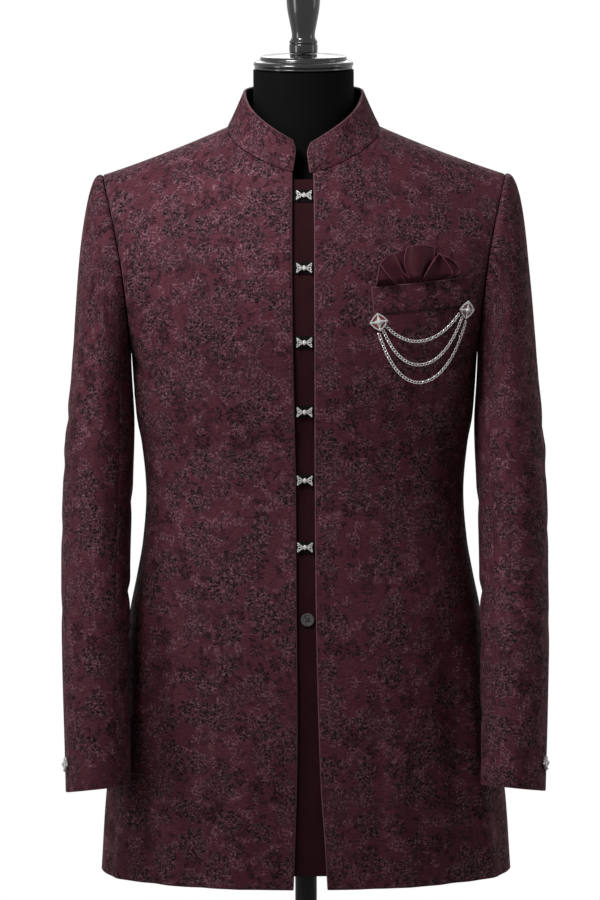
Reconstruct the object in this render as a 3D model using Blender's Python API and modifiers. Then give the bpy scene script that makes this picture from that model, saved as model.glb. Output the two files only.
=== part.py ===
"""A sherwani coat worn by a limbless dress form on a weighted stand.

Metres, +Z up. The origin is the middle of the base's underside. The coat's front faces -Y, and the
wearer's left is +X. Each cut piece of cloth is a thin wall of its own, 0.3 mm from its neighbours.
"""
import math

import bmesh
import bpy
import numpy as np
from mathutils import Matrix, Vector
from mathutils.bvhtree import BVHTree

# ---------------------------------------------------------------- driving dimensions
SEAM_GAP = 0.0003           # between pieces that are sewn together or rest on each other
CLOTH_WALL = 0.0025         # jacquard with its interlining
COLLAR_WALL = 0.0030        # two layers and a stiff interlining
PANEL_WALL = 0.0015         # the plain inner panel
TAB_WALL = 0.0010           # the black bands
WELT_WALL = 0.0018
ON_FRONT_CLEARANCE = 0.0014  # under pieces that lie across the front's facets
STEP = 0.0001               # step of the surface parameters, for normals

HEM_Z = 0.597
UNDERARM_Z = 1.180
SHOULDER_TIP_Z = 1.379
SHOULDER_TIP_X = 0.2240
SHOULDER_Y = 0.005          # the shoulder seam, just behind the middle
ARMHOLE_HALF_DEPTH = 0.062

NECK_HALF_WIDTH = 0.085     # the neck seam's oval, seen from above
BACK_NECK_RISE = 0.066      # how far the back climbs behind the neck, above the shoulder line
FRONT_NECK_RISE = 0.012
SHOULDER_DIP = 0.0020       # hollow of the shoulder seam between the neck and the tip
COLLAR_GAP = 0.0006         # under the collar, whose facets differ from the panels'
COLLAR_TOP_HALF_WIDTH = 0.067
COLLAR_TOP_FRONT = 0.078
COLLAR_TOP_BACK = 0.062

SLEEVE_HEAD_Z = 1.150       # first full ring of the sleeve
CUFF_Z = 0.707
HEAD_DROP = 2.6             # how squarely the sleeve head stands out before it falls
HEAD_ROPE = 0.004           # rise of the roped sleeve head
CUFF_PITCH = 0.16           # the cuff's front edge is cut higher than its back
CUFF_ROLL = 0.10            # and its outer edge lower than its inner
FRONT_SEAM_DEG = 128.0      # sleeve seams, round from the outer side by way of the front
BACK_SEAM_DEG = 244.0

CLASP_WIDTH = 0.0180
CLASP_HEIGHT = 0.0115
TAB_HALF_WIDTH = 0.0185
TAB_HEIGHT = 0.0125
BUTTON_DIAMETER = 0.015
BUTTON_HEIGHT = 0.0024
BUTTON_WELL_HEIGHT = 0.0016                 # at the sunk middle
BUTTON_BEVEL = 0.0006
HOLE_RADIUS = 0.0010
HOLE_CIRCLE_RADIUS = 0.0023
BROOCH_SIZE = 0.021
CHAIN_DIAMETER = 0.0030
STUD_HEIGHT = 0.017

CAP_Z = 1.4965              # underside of the turned cap
POLE_RADIUS = 0.0122
FORM_BOTTOM_Z = 0.790
FORM_FOOT = ((0.0, 0.010), (0.003, 0.003))    # rise and inset of the form's rounded lower edge
BASE_RADIUS = 0.200
BASE_TOP_Z = 0.018


class Table:
    """Rows of sizes with named columns, read smoothly between the rows by their first column."""

    def __init__(self, columns, rows):
        names = columns.split()
        self.data = {name: [row[i] for row in rows] for i, name in enumerate(names)}
        self.keys = self.data[names[0]]

    def at(self, name, key):
        keys, values = self.keys, self.data[name]
        key = min(max(key, keys[0]), keys[-1])
        i = min(max(int(np.searchsorted(keys, key)) - 1, 0), len(keys) - 2)
        span = keys[i + 1] - keys[i]
        t = (key - keys[i]) / span

        def slope(j):
            low, high = max(j - 1, 0), min(j + 1, len(keys) - 1)
            return (values[high] - values[low]) / (keys[high] - keys[low])

        return float(values[i] * (1 + 2 * t) * (1 - t) ** 2 + values[i + 1] * (3 - 2 * t) * t * t
                     + span * (slope(i) * t * (1 - t) ** 2 - slope(i + 1) * t * t * (1 - t)))


# Sections of the coat's body. Above the underarm the half width is that of the armhole seam.
BODY = Table("level half_width front back fullness", (
    (0.597, 0.2305, 0.145, 0.135, 2.15),
    (0.690, 0.2238, 0.142, 0.135, 2.15),
    (0.800, 0.2085, 0.135, 0.131, 2.15),
    (0.890, 0.1966, 0.126, 0.123, 2.20),
    (0.931, 0.1884, 0.121, 0.116, 2.20),
    (0.970, 0.1816, 0.116, 0.109, 2.20),
    (1.025, 0.1777, 0.112, 0.103, 2.20),
    (1.078, 0.1822, 0.114, 0.106, 2.20),
    (1.110, 0.1880, 0.118, 0.111, 2.25),
    (1.180, 0.1932, 0.126, 0.120, 2.30),
    (1.239, 0.1980, 0.129, 0.126, 2.35),
    (1.295, 0.2053, 0.129, 0.126, 2.35),
    (1.350, 0.2164, 0.126, 0.120, 2.35),
    (1.379, 0.2240, 0.122, 0.112, 2.35)))

# Distance of each front's free edge from the middle; the gap between them widens at the hem.
FRONT_EDGE = Table("level right left", (
    (0.597, 0.0147, 0.0247),
    (0.654, 0.0127, 0.0216),
    (0.708, 0.0108, 0.0178),
    (0.770, 0.0098, 0.0157),
    (0.835, 0.0100, 0.0140),
    (0.918, 0.0105, 0.0127),
    (1.051, 0.0110, 0.0121),
    (1.230, 0.0140, 0.0121),
    (1.319, 0.0138, 0.0116),
    (1.379, 0.0125, 0.0075)))

# The neck seam and the collar's top edge, by the angle round from the front.
NECK = Table("degrees seam_z collar_z", (
    (0.0, 1.3860, 1.4160),
    (20.0, 1.3940, 1.4290),
    (45.0, 1.4075, 1.4445),
    (70.0, 1.4215, 1.4600),
    (90.0, 1.4325, 1.4712),
    (125.0, 1.4400, 1.4745),
    (180.0, 1.4440, 1.4790)))

# Rings of the right or left sleeve, below its head.
SLEEVE = Table("level centre_x centre_y half_width half_depth", (
    (0.707, 0.2302, -0.1170, 0.0364, 0.0510),
    (0.800, 0.2323, -0.0900, 0.0370, 0.0560),
    (0.900, 0.2333, -0.0560, 0.0385, 0.0620),
    (0.970, 0.2329, -0.0330, 0.0389, 0.0655),
    (1.050, 0.2305, -0.0140, 0.0392, 0.0690),
    (1.104, 0.2282, -0.0060, 0.0382, 0.0715),
    (1.150, 0.2268, -0.0020, 0.0346, 0.0720)))

# Sections of the dress form's torso, shoulders and neck.
FORM = Table("level half_width front back fullness", (
    (0.798, 0.1860, 0.114, 0.111, 2.2),
    (0.840, 0.1890, 0.116, 0.113, 2.2),
    (0.890, 0.1830, 0.112, 0.110, 2.2),
    (0.970, 0.1690, 0.102, 0.097, 2.2),
    (1.025, 0.1650, 0.098, 0.091, 2.2),
    (1.104, 0.1740, 0.103, 0.098, 2.2),
    (1.180, 0.1800, 0.112, 0.107, 2.2),
    (1.240, 0.1820, 0.112, 0.110, 2.2),
    (1.290, 0.1850, 0.104, 0.106, 2.1),
    (1.330, 0.1820, 0.088, 0.095, 2.0),
    (1.360, 0.1660, 0.074, 0.081, 2.0),
    (1.385, 0.1380, 0.062, 0.068, 2.0),
    (1.405, 0.1020, 0.058, 0.061, 2.0),
    (1.420, 0.0720, 0.056, 0.057, 2.0),
    (1.437, 0.0580, 0.056, 0.056, 2.0),
    (1.465, 0.0560, 0.056, 0.056, 2.0)))

# Height of each bow clasp down the opening.
CLASP_LEVELS = (1.3650, 1.2865, 1.2045, 1.1265, 1.0495, 0.9755)
BUTTON_X = 0.0027
BUTTON_LEVEL = 0.8960


# ---------------------------------------------------------------- the coat's surfaces
def ridge_z(x, face):
    """Height of the shoulder seam, carried on smoothly over the neck opening to the middle."""
    neck_z = NECK.at("seam_z", 90)
    length = SHOULDER_TIP_X - NECK_HALF_WIDTH
    slope = (SHOULDER_TIP_Z - neck_z) / length
    if x >= NECK_HALF_WIDTH:
        t = (x - NECK_HALF_WIDTH) / length
        return neck_z + slope * length * t - 4 * SHOULDER_DIP * t * (1 - t)
    slope -= 4 * SHOULDER_DIP / length
    inside = 1 - (x / NECK_HALF_WIDTH) ** 2
    extra = BACK_NECK_RISE if face > 0 else FRONT_NECK_RISE
    return neck_z - slope * NECK_HALF_WIDTH * inside / 2 + extra * inside ** 2


def free_edge(side, face, level):
    """Distance from the middle plane to a body panel's first edge."""
    if face > 0:
        return SEAM_GAP / 2
    return FRONT_EDGE.at("left" if side > 0 else "right", level)


def armhole(rise):
    """Half the armhole's width, and its middle, at a rise of 0 (underarm) to 1 (shoulder tip)."""
    return ARMHOLE_HALF_DEPTH * 2 * math.sqrt(max(rise * (1 - rise), 0.0)), SHOULDER_Y * rise


def top_x(side, face, across):
    """Where a column of a body panel would meet the shoulder seam."""
    edge = free_edge(side, face, SHOULDER_TIP_Z)
    return edge + (SHOULDER_TIP_X - edge) * across


def body_point(side, face, across, level):
    """A point of the body's outer surface, with no neck opening in it.

    side is -1 or +1 (X), face is -1 (front) or +1 (back), across runs from the free edge (0) to the
    side seam and armhole (1), and level is the height of the section at the side.
    """
    depth = BODY.at("front" if face < 0 else "back", level)
    full = BODY.at("fullness", level)
    last = BODY.at("half_width", level)
    rise = (level - UNDERARM_Z) / (SHOULDER_TIP_Z - UNDERARM_Z)
    edge = free_edge(side, face, level)
    x = edge + (last - edge) * across
    seam = face * SEAM_GAP / 2
    if rise <= 0:
        y = face * depth * max(1 - (x / last) ** full, 0.0) ** (1 / full)
        return Vector((side * x, y + seam, level))
    z = UNDERARM_Z + (ridge_z(top_x(side, face, across), face) - UNDERARM_Z) * rise
    # The section is cut off by the armhole, so that it ends at the armhole's own half width.
    turn = math.sqrt(max(1 - rise ** 2, 1e-9))
    half, middle = armhole(rise)
    cut = min(((half + face * (middle - SHOULDER_Y)) / turn + face * SHOULDER_Y) / depth, 0.999)
    reach = (1 - max(cut, 0.0) ** full) ** (1 / full)
    y_section = face * depth * max(1 - (x / last * reach) ** full, 0.0) ** (1 / full)
    y = SHOULDER_Y + (y_section - SHOULDER_Y) * turn
    return Vector((side * x, y + seam, z))


def find(side, face, x, z):
    """Surface parameters of the body's point with this distance x from the middle and height z."""
    across, level = 0.5, z
    for _ in range(14):
        if z > UNDERARM_Z:
            rise = (z - UNDERARM_Z) / (ridge_z(top_x(side, face, across), face) - UNDERARM_Z)
            level = UNDERARM_Z + min(rise, 1.0) * (SHOULDER_TIP_Z - UNDERARM_Z)
        edge = free_edge(side, face, level)
        across = (x - edge) / (BODY.at("half_width", level) - edge)
    return across, level


def neck_degrees(x, face):
    """Angle round the neck, from the front, of the neck seam's point at this x."""
    degrees = math.degrees(math.asin(min(x / NECK_HALF_WIDTH, 1.0)))
    return degrees if face < 0 else 180 - degrees


def neck_seam(degrees, side):
    """A point of the neck seam, on the body's surface."""
    face = -1 if degrees <= 90 else 1
    x = NECK_HALF_WIDTH * math.sin(math.radians(degrees))
    point = body_point(side, face, *find(side, face, x, NECK.at("seam_z", degrees)))
    return Vector((side * x, point.y, NECK.at("seam_z", degrees)))


def end_level(side, face, across):
    """The level at which a column ends: on the neck seam, or on the shoulder seam."""
    x_top = top_x(side, face, across)
    if x_top >= NECK_HALF_WIDTH:
        return SHOULDER_TIP_Z
    below, above = UNDERARM_Z, SHOULDER_TIP_Z
    for _ in range(24):
        level = (below + above) / 2
        point = body_point(side, face, across, level)
        if point.z < NECK.at("seam_z", neck_degrees(abs(point.x), face)):
            below = level
        else:
            above = level
    return (below + above) / 2


def panel_point(side, face, across, level):
    """A point of a body panel; its upper rows are squeezed to end on the neck seam."""
    if level > UNDERARM_Z:
        share = (level - UNDERARM_Z) / (SHOULDER_TIP_Z - UNDERARM_Z)
        level = UNDERARM_Z + share * (end_level(side, face, across) - UNDERARM_Z)
    return body_point(side, face, across, level)


def sleeve_ring(angle, level):
    """A point of the left sleeve's ring; the angle runs from the outer side by way of the front."""
    fall = (SLEEVE_HEAD_Z - level) / (SLEEVE_HEAD_Z - CUFF_Z)
    dx = SLEEVE.at("half_width", level) * math.cos(angle)
    dy = -SLEEVE.at("half_depth", level) * math.sin(angle)
    dz = -fall ** 2 * (CUFF_PITCH * dy + CUFF_ROLL * dx)
    return Vector((SLEEVE.at("centre_x", level) + dx, SLEEVE.at("centre_y", level) + dy, level + dz))


def sleeve_point(side, angle, along):
    """A point of the sleeve's outer surface: along is 0 at the armhole, 1 below the head, 2 at the cuff."""
    if along > 1:
        point = sleeve_ring(angle, SLEEVE_HEAD_Z + (CUFF_Z - SLEEVE_HEAD_Z) * (along - 1))
    else:
        rise = (1 + math.cos(angle)) / 2
        level = UNDERARM_Z + (SHOULDER_TIP_Z - UNDERARM_Z) * rise
        start = Vector((BODY.at("half_width", level) + SEAM_GAP * 1.5,
                        SHOULDER_Y * rise - ARMHOLE_HALF_DEPTH * math.sin(angle), level))
        end = sleeve_ring(angle, SLEEVE_HEAD_Z)
        point = start.lerp(end, along)
        drop = 1 + (HEAD_DROP - 1) * rise
        point.z = start.z + (end.z - start.z) * along ** drop
        point.z += HEAD_ROPE * rise ** 2 * math.sin(math.pi * along) * (1 - along)
    return Vector((side * point.x, point.y, point.z))


def normal_of(surface, u, v, outward):
    """Unit normal of surface(u, v), on the side that the vector outward(point) points to."""
    point = surface(u, v)
    du = surface(u - STEP, v) if u > 2 * STEP else surface(u + STEP, v)
    dv = surface(u, v - STEP) if v > 2 * STEP else surface(u, v + STEP)
    normal = (du - point).cross(dv - point).normalized()
    return normal if normal.dot(outward(point)) > 0 else -normal


# ---------------------------------------------------------------- solids
def material(name, color, roughness, metallic=0.0):
    made = bpy.data.materials.new(name)
    made.use_nodes = True
    shader = made.node_tree.nodes["Principled BSDF"]
    shader.inputs["Base Color"].default_value = (*color, 1.0)
    shader.inputs["Roughness"].default_value = roughness
    shader.inputs["Metallic"].default_value = metallic
    return made


def add_object(name, data, finish, sharp_degrees=35.0):
    thing = bpy.data.objects.new(name, data)
    COAT.objects.link(thing)
    data.materials.append(finish)
    if isinstance(data, bpy.types.Mesh):
        data.shade_smooth()
        data.set_sharp_from_angle(angle=math.radians(sharp_degrees))
    return thing


def wall(name, outer, inner, finish):
    """A closed wall between two grids of points, with a rim round its four edges."""
    rows, columns = len(outer), len(outer[0])
    points = [p for grid in (outer, inner) for row in grid for p in row]
    far = rows * columns
    faces = []
    for i in range(rows - 1):
        for j in range(columns - 1):
            a, b = i * columns + j, i * columns + j + 1
            c, d = b + columns, a + columns
            faces += [(a, b, c, d), (far + a, far + d, far + c, far + b)]
    rim = [j for j in range(columns)]
    rim += [i * columns + columns - 1 for i in range(1, rows)]
    rim += [(rows - 1) * columns + j for j in range(columns - 2, -1, -1)]
    rim += [i * columns for i in range(rows - 2, 0, -1)]
    faces += [(b, a, far + a, far + b) for a, b in zip(rim, rim[1:] + rim[:1])]
    mesh = bpy.data.meshes.new(name)
    mesh.from_pydata(points, [], faces)
    form = bmesh.new()
    form.from_mesh(mesh)
    bmesh.ops.recalc_face_normals(form, faces=form.faces)
    if form.calc_volume(signed=True) < 0:
        bmesh.ops.reverse_faces(form, faces=form.faces)
    form.to_mesh(mesh)
    form.free()
    return add_object(name, mesh, finish)


def cloth(name, surface, us, vs, thickness, outward, finish, lift=0.0, level_rim=False, smooth=None):
    """A wall of cloth whose outer face lies on surface(u, v), moved out by lift.

    With level_rim the wall's thickness is measured level, so that its lower rim is level too. A piece
    that lies on the facets of another takes its normals from the smooth surface behind them.
    """
    outer, inner = [], []
    for v in vs:
        points = [surface(u, v) for u in us]
        normals = [normal_of(smooth or surface, u, v, outward) for u in us]
        if level_rim:
            normals = [Vector((n.x, n.y, 0)).normalized() for n in normals]
        outer.append([p + n * lift for p, n in zip(points, normals)])
        inner.append([p + n * (lift - thickness) for p, n in zip(points, normals)])
    return wall(name, outer, inner, finish)


def turned(name, profile, finish, steps=32, location=(0, 0, 0)):
    """A solid of revolution about Z; the profile of (radius, z) runs from the top to the bottom."""
    mesh = bpy.data.meshes.new(name)
    mesh.from_pydata([(r, 0, z) for r, z in profile], [(i, i + 1) for i in range(len(profile) - 1)], [])
    thing = add_object(name, mesh, finish)
    thing.location = location
    screw = thing.modifiers.new("Screw", "SCREW")
    screw.steps = screw.render_steps = steps
    screw.use_merge_vertices = True
    screw.merge_threshold = 0.00005
    return thing


def flat_outline(name, points, thickness, finish, edge=0.0004):
    """A flat plate with a cyclic outline in its own XY plane, its edges a little rounded."""
    curve = bpy.data.curves.new(name, "CURVE")
    curve.dimensions = "2D"
    curve.fill_mode = "BOTH"
    curve.extrude = thickness / 2 - edge
    curve.bevel_depth = edge
    curve.bevel_resolution = 0
    curve.offset = -edge
    spline = curve.splines.new("POLY")
    spline.points.add(len(points) - 1)
    for knot, (x, y) in zip(spline.points, points):
        knot.co = (x, y, 0, 1)
    spline.use_cyclic_u = True
    return add_object(name, curve, finish)


def set_on(thing, point, normal, up=Vector((0, 0, 1))):
    """Turn a plate so that it faces along the normal at the point, upright."""
    z_axis = normal.normalized()
    x_axis = up.cross(z_axis).normalized()
    y_axis = z_axis.cross(x_axis)
    turn = Matrix((x_axis, y_axis, z_axis)).transposed().to_4x4()
    thing.matrix_world = Matrix.Translation(point) @ turn


def blend(start, end, steps, power=1.0):
    return [start + (end - start) * (i / steps) ** power for i in range(steps + 1)]


def away_from_body(p):
    return Vector((p.x, p.y, 0.12 + 4 * max(p.z - SHOULDER_TIP_Z, 0)))


def front_facets(side):
    """The facets of a front's outer face, to lay other pieces on."""
    us, vs = body_columns(side, -1), body_levels()
    points = [panel_point(side, -1, u, v) for v in vs for u in us]
    width = len(us)
    faces = [(i * width + j, i * width + j + 1, (i + 1) * width + j + 1, (i + 1) * width + j)
             for i in range(len(vs) - 1) for j in range(width - 1)]
    return BVHTree.FromPolygons(points, faces)


def smooth_front(side):
    """The front's outer surface as a function of x and z seen from the front."""
    def surface(x, z):
        return body_point(side, -1, *find(side, -1, x, z))
    return surface


def faceted_front(side):
    """The same surface, on the front's facets."""
    facets = front_facets(side)

    def surface(x, z):
        start = Vector((side * x, -1.0, z))
        hit = facets.ray_cast(start, Vector((0, 1, 0)))[0]
        return hit if hit else smooth_front(side)(x, z)
    return surface


def facing(_):
    return Vector((0, -1, 0))


# ---------------------------------------------------------------- the coat
def body_levels():
    low = blend(HEM_Z, UNDERARM_Z, 12)
    span = SHOULDER_TIP_Z - UNDERARM_Z
    steps = 8
    return low + [UNDERARM_Z + span * (1 - math.cos(math.pi * i / steps)) / 2 for i in range(1, steps + 1)]


def body_columns(side, face):
    """Columns of a body panel: even round the neck, then closer towards the side."""
    edge = free_edge(side, face, SHOULDER_TIP_Z)
    first = math.asin(edge / NECK_HALF_WIDTH)
    width = SHOULDER_TIP_X - edge
    neck = [(NECK_HALF_WIDTH * math.sin(a) - edge) / width for a in blend(first, math.pi / 2, 5)]
    steps = 6
    out = [neck[-1] + (1 - neck[-1]) * math.sin(math.pi / 2 * i / steps) for i in range(1, steps + 1)]
    return [0.0] + neck[1:] + out


def make_body(finish):
    for side, hand in ((-1, "right"), (1, "left")):
        for face, panel in ((-1, "front"), (1, "back")):
            def surface(u, v, side=side, face=face):
                return panel_point(side, face, u, v)

            cloth(f"{panel}_{hand}", surface, body_columns(side, face), body_levels(), CLOTH_WALL,
                  away_from_body, finish)


def make_sleeves(finish):
    heads = blend(0.0, 1.0, 6)
    lengths = blend(1.0, 2.0, 9)[1:]
    half_gap = SEAM_GAP / 2 / 0.045
    seams = (math.radians(FRONT_SEAM_DEG), math.radians(BACK_SEAM_DEG))
    spans = {"top": (seams[1] - 2 * math.pi + half_gap, seams[0] - half_gap, 16),
             "under": (seams[0] + half_gap, seams[1] - half_gap, 10)}
    for side, hand in ((-1, "right"), (1, "left")):
        for piece, (start, end, steps) in spans.items():
            def surface(u, v, side=side):
                return sleeve_point(side, u, v)

            def outward(p, side=side):
                level = min(max(p.z, CUFF_Z), SLEEVE_HEAD_Z)
                axis = Vector((side * (SLEEVE.at("centre_x", level) - 0.02 * (p.z > SLEEVE_HEAD_Z)),
                               SLEEVE.at("centre_y", level), min(p.z, 1.26)))
                return p - axis

            cloth(f"sleeve_{piece}_{hand}", surface, blend(start, end, steps), heads + lengths,
                  CLOTH_WALL, outward, finish)


def collar_point(degrees, up):
    """A point of the collar's outer face; degrees run from the front round one side, negative to -X."""
    turn = abs(degrees)
    side = 1 if degrees > 0 else -1
    low = neck_seam(turn, side) + Vector((0, 0, COLLAR_GAP))
    angle = math.radians(turn)
    depth = COLLAR_TOP_FRONT if turn <= 90 else COLLAR_TOP_BACK
    high = Vector((side * COLLAR_TOP_HALF_WIDTH * math.sin(angle),
                   SHOULDER_Y - depth * math.cos(angle), NECK.at("collar_z", turn)))
    lean = up ** 0.85
    return Vector((low.x + (high.x - low.x) * lean, low.y + (high.y - low.y) * lean,
                   low.z + (high.z - low.z) * up))


def make_collar(finish):
    """One band from the right front corner, behind the neck, to the left front corner."""
    ends = {-1: (9.0, 7.2), 1: (5.2, 3.0)}      # degrees from the middle at the seam and at the top

    def surface(u, v):
        side = -1 if u < 0.5 else 1
        part = abs(2 * u - 1)                    # 1 at the front corner, 0 at the centre back
        seam, top = ends[side]
        corner = seam + (top - seam) * v
        return collar_point(side * (180 - (180 - corner) * part), v)

    columns = [0.5 - 0.5 * math.sin(math.pi / 2 * (1 - i / 14)) for i in range(14)]
    columns += [0.5] + [1 - u for u in reversed(columns)]
    cloth("collar", surface, columns, (0, 0.33, 0.66, 1), COLLAR_WALL,
          lambda p: Vector((p.x, p.y - SHOULDER_Y, 0.01)), finish, level_rim=True)


def over_the_gap(right_front, left_front):
    """The two fronts' outer surfaces, carried on straight over the gap between them."""
    def surface(x, z):
        margin = 0.001
        right = FRONT_EDGE.at("right", z) + margin
        left = FRONT_EDGE.at("left", z) + margin
        share = min(max((x + right) / (left + right), 0.0), 1.0)
        right_y = right_front(max(-x, right), z).y
        left_y = left_front(max(x, left), z).y
        return Vector((x, right_y + (left_y - right_y) * share, z))
    return surface


PANEL_TOP_Z = 1.378
PANEL_BOTTOM_Z = 0.6115
PANEL_HALF_WIDTH = 0.034
TAB_LIFT = -(CLOTH_WALL + 0.0009)
PANEL_LIFT = TAB_LIFT - TAB_WALL - 0.0005
CLASP_THICKNESS = 0.0036
CLASP_CLEARANCE = 0.0006    # a flat clasp over a band that curves


def make_opening(plain, band, metal, horn):
    """The inner panel behind the gap, with the tabs, the bow clasps and the button in front of it."""
    faceted = over_the_gap(faceted_front(-1), faceted_front(1))
    smooth = over_the_gap(smooth_front(-1), smooth_front(1))
    levels = [panel_point(1, -1, 0, level).z for level in body_levels()]
    levels = [PANEL_BOTTOM_Z] + [z for z in levels if PANEL_BOTTOM_Z < z < PANEL_TOP_Z] + [PANEL_TOP_Z]
    cloth("inner_panel", faceted, blend(-PANEL_HALF_WIDTH, PANEL_HALF_WIDTH, 6), levels, PANEL_WALL,
          facing, plain, lift=PANEL_LIFT, smooth=smooth)
    wing = CLASP_WIDTH / 2
    half = CLASP_HEIGHT / 2
    quarter = ((wing, half * 0.55), (wing * 0.86, half), (wing * 0.40, half * 0.52),
               (wing * 0.18, half * 0.62))
    outline = list(quarter) + [(-x, y) for x, y in reversed(quarter)]
    outline += [(x, -y) for x, y in ((-wing, half * 0.55), (-wing * 0.86, half),
                                     (-wing * 0.40, half * 0.52), (-wing * 0.18, half * 0.62))]
    outline += [(x, -y) for x, y in reversed(quarter)]
    for number, level in enumerate(CLASP_LEVELS, 1):
        cloth(f"clasp_tab_{number}", faceted, blend(-TAB_HALF_WIDTH, TAB_HALF_WIDTH, 4),
              blend(level - TAB_HEIGHT / 2, level + TAB_HEIGHT / 2, 1), TAB_WALL, facing, band,
              lift=TAB_LIFT, smooth=smooth)
        point = faceted(0.0, level)
        normal = normal_of(smooth, 0.0, level, facing)
        clasp = flat_outline(f"clasp_{number}", outline, CLASP_THICKNESS, metal)
        set_on(clasp, point + normal * (TAB_LIFT + CLASP_CLEARANCE + CLASP_THICKNESS / 2), normal)
    radius = BUTTON_DIAMETER / 2
    well, brow, bevel = BUTTON_WELL_HEIGHT, BUTTON_HEIGHT - BUTTON_BEVEL, BUTTON_BEVEL
    button = turned("inner_button", ((0, well), (radius * 0.66, well), (radius * 0.74, BUTTON_HEIGHT),
                                     (radius * 0.94, BUTTON_HEIGHT), (radius, brow), (radius, bevel),
                                     (radius * 0.93, 0), (0, 0)), horn, steps=28)
    point = faceted(BUTTON_X, BUTTON_LEVEL)
    normal = normal_of(smooth, BUTTON_X, BUTTON_LEVEL, facing)
    set_on(button, point + normal * (PANEL_LIFT + SEAM_GAP), normal)
    for i in range(4):
        angle = math.radians(45 + 90 * i)
        bpy.ops.mesh.primitive_cylinder_add(vertices=8, radius=HOLE_RADIUS, depth=0.01)
        cutter = bpy.context.object
        cutter.name = f"button_hole_{i + 1}"
        cutter.matrix_world = button.matrix_world @ Matrix.Translation(
            (HOLE_CIRCLE_RADIUS * math.cos(angle), HOLE_CIRCLE_RADIUS * math.sin(angle), 0))
        move_to_cutters(cutter)
        cut = button.modifiers.new(f"Hole {i + 1}", "BOOLEAN")
        cut.object = cutter
        cut.operation = "DIFFERENCE"


def move_to_cutters(thing):
    for holder in list(thing.users_collection):
        holder.objects.unlink(thing)
    CUTTERS.objects.link(thing)
    thing.hide_render = True
    thing.display_type = "WIRE"


# Corners of the breast welt on the wearer's left, as x and z seen from the front.
WELT_CORNERS = {"low_in": (0.0768, 1.2357), "low_out": (0.1830, 1.2424),
                "high_in": (0.0743, 1.2641), "high_out": (0.1832, 1.2717)}


def welt_place(along, up):
    """x and z on the front at a fraction along and up the welt."""
    low = [a + (b - a) * along for a, b in zip(WELT_CORNERS["low_in"], WELT_CORNERS["low_out"])]
    high = [a + (b - a) * along for a, b in zip(WELT_CORNERS["high_in"], WELT_CORNERS["high_out"])]
    return [a + (b - a) * up for a, b in zip(low, high)]


# The folded square: height above the welt's top edge and thickness, along the pocket.
SQUARE = Table("along height thickness", (
    (0.06, 0.0180, 0.0030),
    (0.16, 0.0360, 0.0070),
    (0.28, 0.0415, 0.0085),
    (0.42, 0.0440, 0.0095),
    (0.56, 0.0425, 0.0095),
    (0.68, 0.0345, 0.0080),
    (0.78, 0.0215, 0.0055),
    (0.84, 0.0100, 0.0030)))
SQUARE_START, SQUARE_END = 0.06, 0.84       # along the welt
SQUARE_HEIGHTS = (0.0, 0.2, 0.4, 0.6, 0.8, 0.93, 1.0)
SQUARE_FLARE = 0.012                        # how far the top spreads, from SQUARE_MIDDLE along
SQUARE_MIDDLE = 0.45
SQUARE_FOLD_DEPTH, SQUARE_FOLDS = 0.10, 38  # ripple as a share of the thickness, and its rate along
SQUARE_TOP_WALL = 0.35                      # thickness left at the top edge, as a share


def make_pocket(jacquard, satin):
    on_facets, on_smooth = faceted_front(1), smooth_front(1)
    cloth("pocket_welt", lambda u, v: on_facets(*welt_place(u, v)), blend(0.0, 1.0, 12), blend(0.0, 1.0, 4),
          WELT_WALL, facing, jacquard, lift=ON_FRONT_CLEARANCE + WELT_WALL,
          smooth=lambda u, v: on_smooth(*welt_place(u, v)))
    back_lift = ON_FRONT_CLEARANCE
    outer, inner = [], []
    for up in SQUARE_HEIGHTS:
        front_row, back_row = [], []
        for along in blend(SQUARE_START, SQUARE_END, 16):
            x, z = welt_place(along, 1.0)
            reach = 0.0006 + SQUARE.at("height", along) * up
            thick = SQUARE.at("thickness", along)
            crown = thick * (SQUARE_TOP_WALL + (1 - SQUARE_TOP_WALL) * math.sqrt(max(1 - up ** 2, 0.0)))
            ripple = 1 + SQUARE_FOLD_DEPTH * math.sin(along * SQUARE_FOLDS)
            x += (along - SQUARE_MIDDLE) * SQUARE_FLARE * up
            point = on_facets(x, z + reach)
            normal = normal_of(on_smooth, x, z + reach, facing)
            front_row.append(point + normal * (back_lift + crown * ripple))
            back_row.append(point + normal * back_lift)
        outer.append(front_row)
        inner.append(back_row)
    wall("pocket_square", outer, inner, satin)


# Each brooch's centre on the front. Each chain's sag below the line between its hooks, and how far
# its hooks are from the brooches' centres, inward and down.
BROOCHES = ((0.0810, 1.2267), (0.1767, 1.2362))
CHAINS = Table("number sag hook_in hook_down", (
    (1, 0.0221, 0.0085, 0.0050),
    (2, 0.0444, 0.0050, 0.0092),
    (3, 0.0597, 0.0008, 0.0138)))
CHAIN_LIFT = 0.0040
CHAIN_STEPS = 26
BROOCH_THICKNESS = 0.0036
BROOCH_CLEARANCE = 0.0018   # a flat brooch over cloth that curves
BROOCH_WAIST = 0.78         # a star's radius between its points, as a fraction of that of the points
STUD_WAIST = 0.72
STUD_THICKNESS = 0.0040
STUD_CLEARANCE = 0.0009
STUD_DEG = 24.0             # round the sleeve, from its outer side towards the front
STUD_ALONG = 1.935          # along the sleeve, where 1 is below the head and 2 the cuff


def star_outline(size, waist):
    """A four-point star; waist is the radius between the points as a fraction of the points'."""
    corners = []
    for i in range(8):
        radius = size / 2 * (1 if i % 2 == 0 else waist)
        angle = math.radians(45 * i)
        corners.append((radius * math.cos(angle), radius * math.sin(angle)))
    return corners


def catenary_steepness(sag_to_half_span):
    """The k of cosh(kx) that hangs that deep between ends at x = -1 and 1."""
    low, high = 0.01, 6.0
    for _ in range(40):
        middle = (low + high) / 2
        if (math.cosh(middle) - 1) / middle < sag_to_half_span:
            low = middle
        else:
            high = middle
    return low


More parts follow.
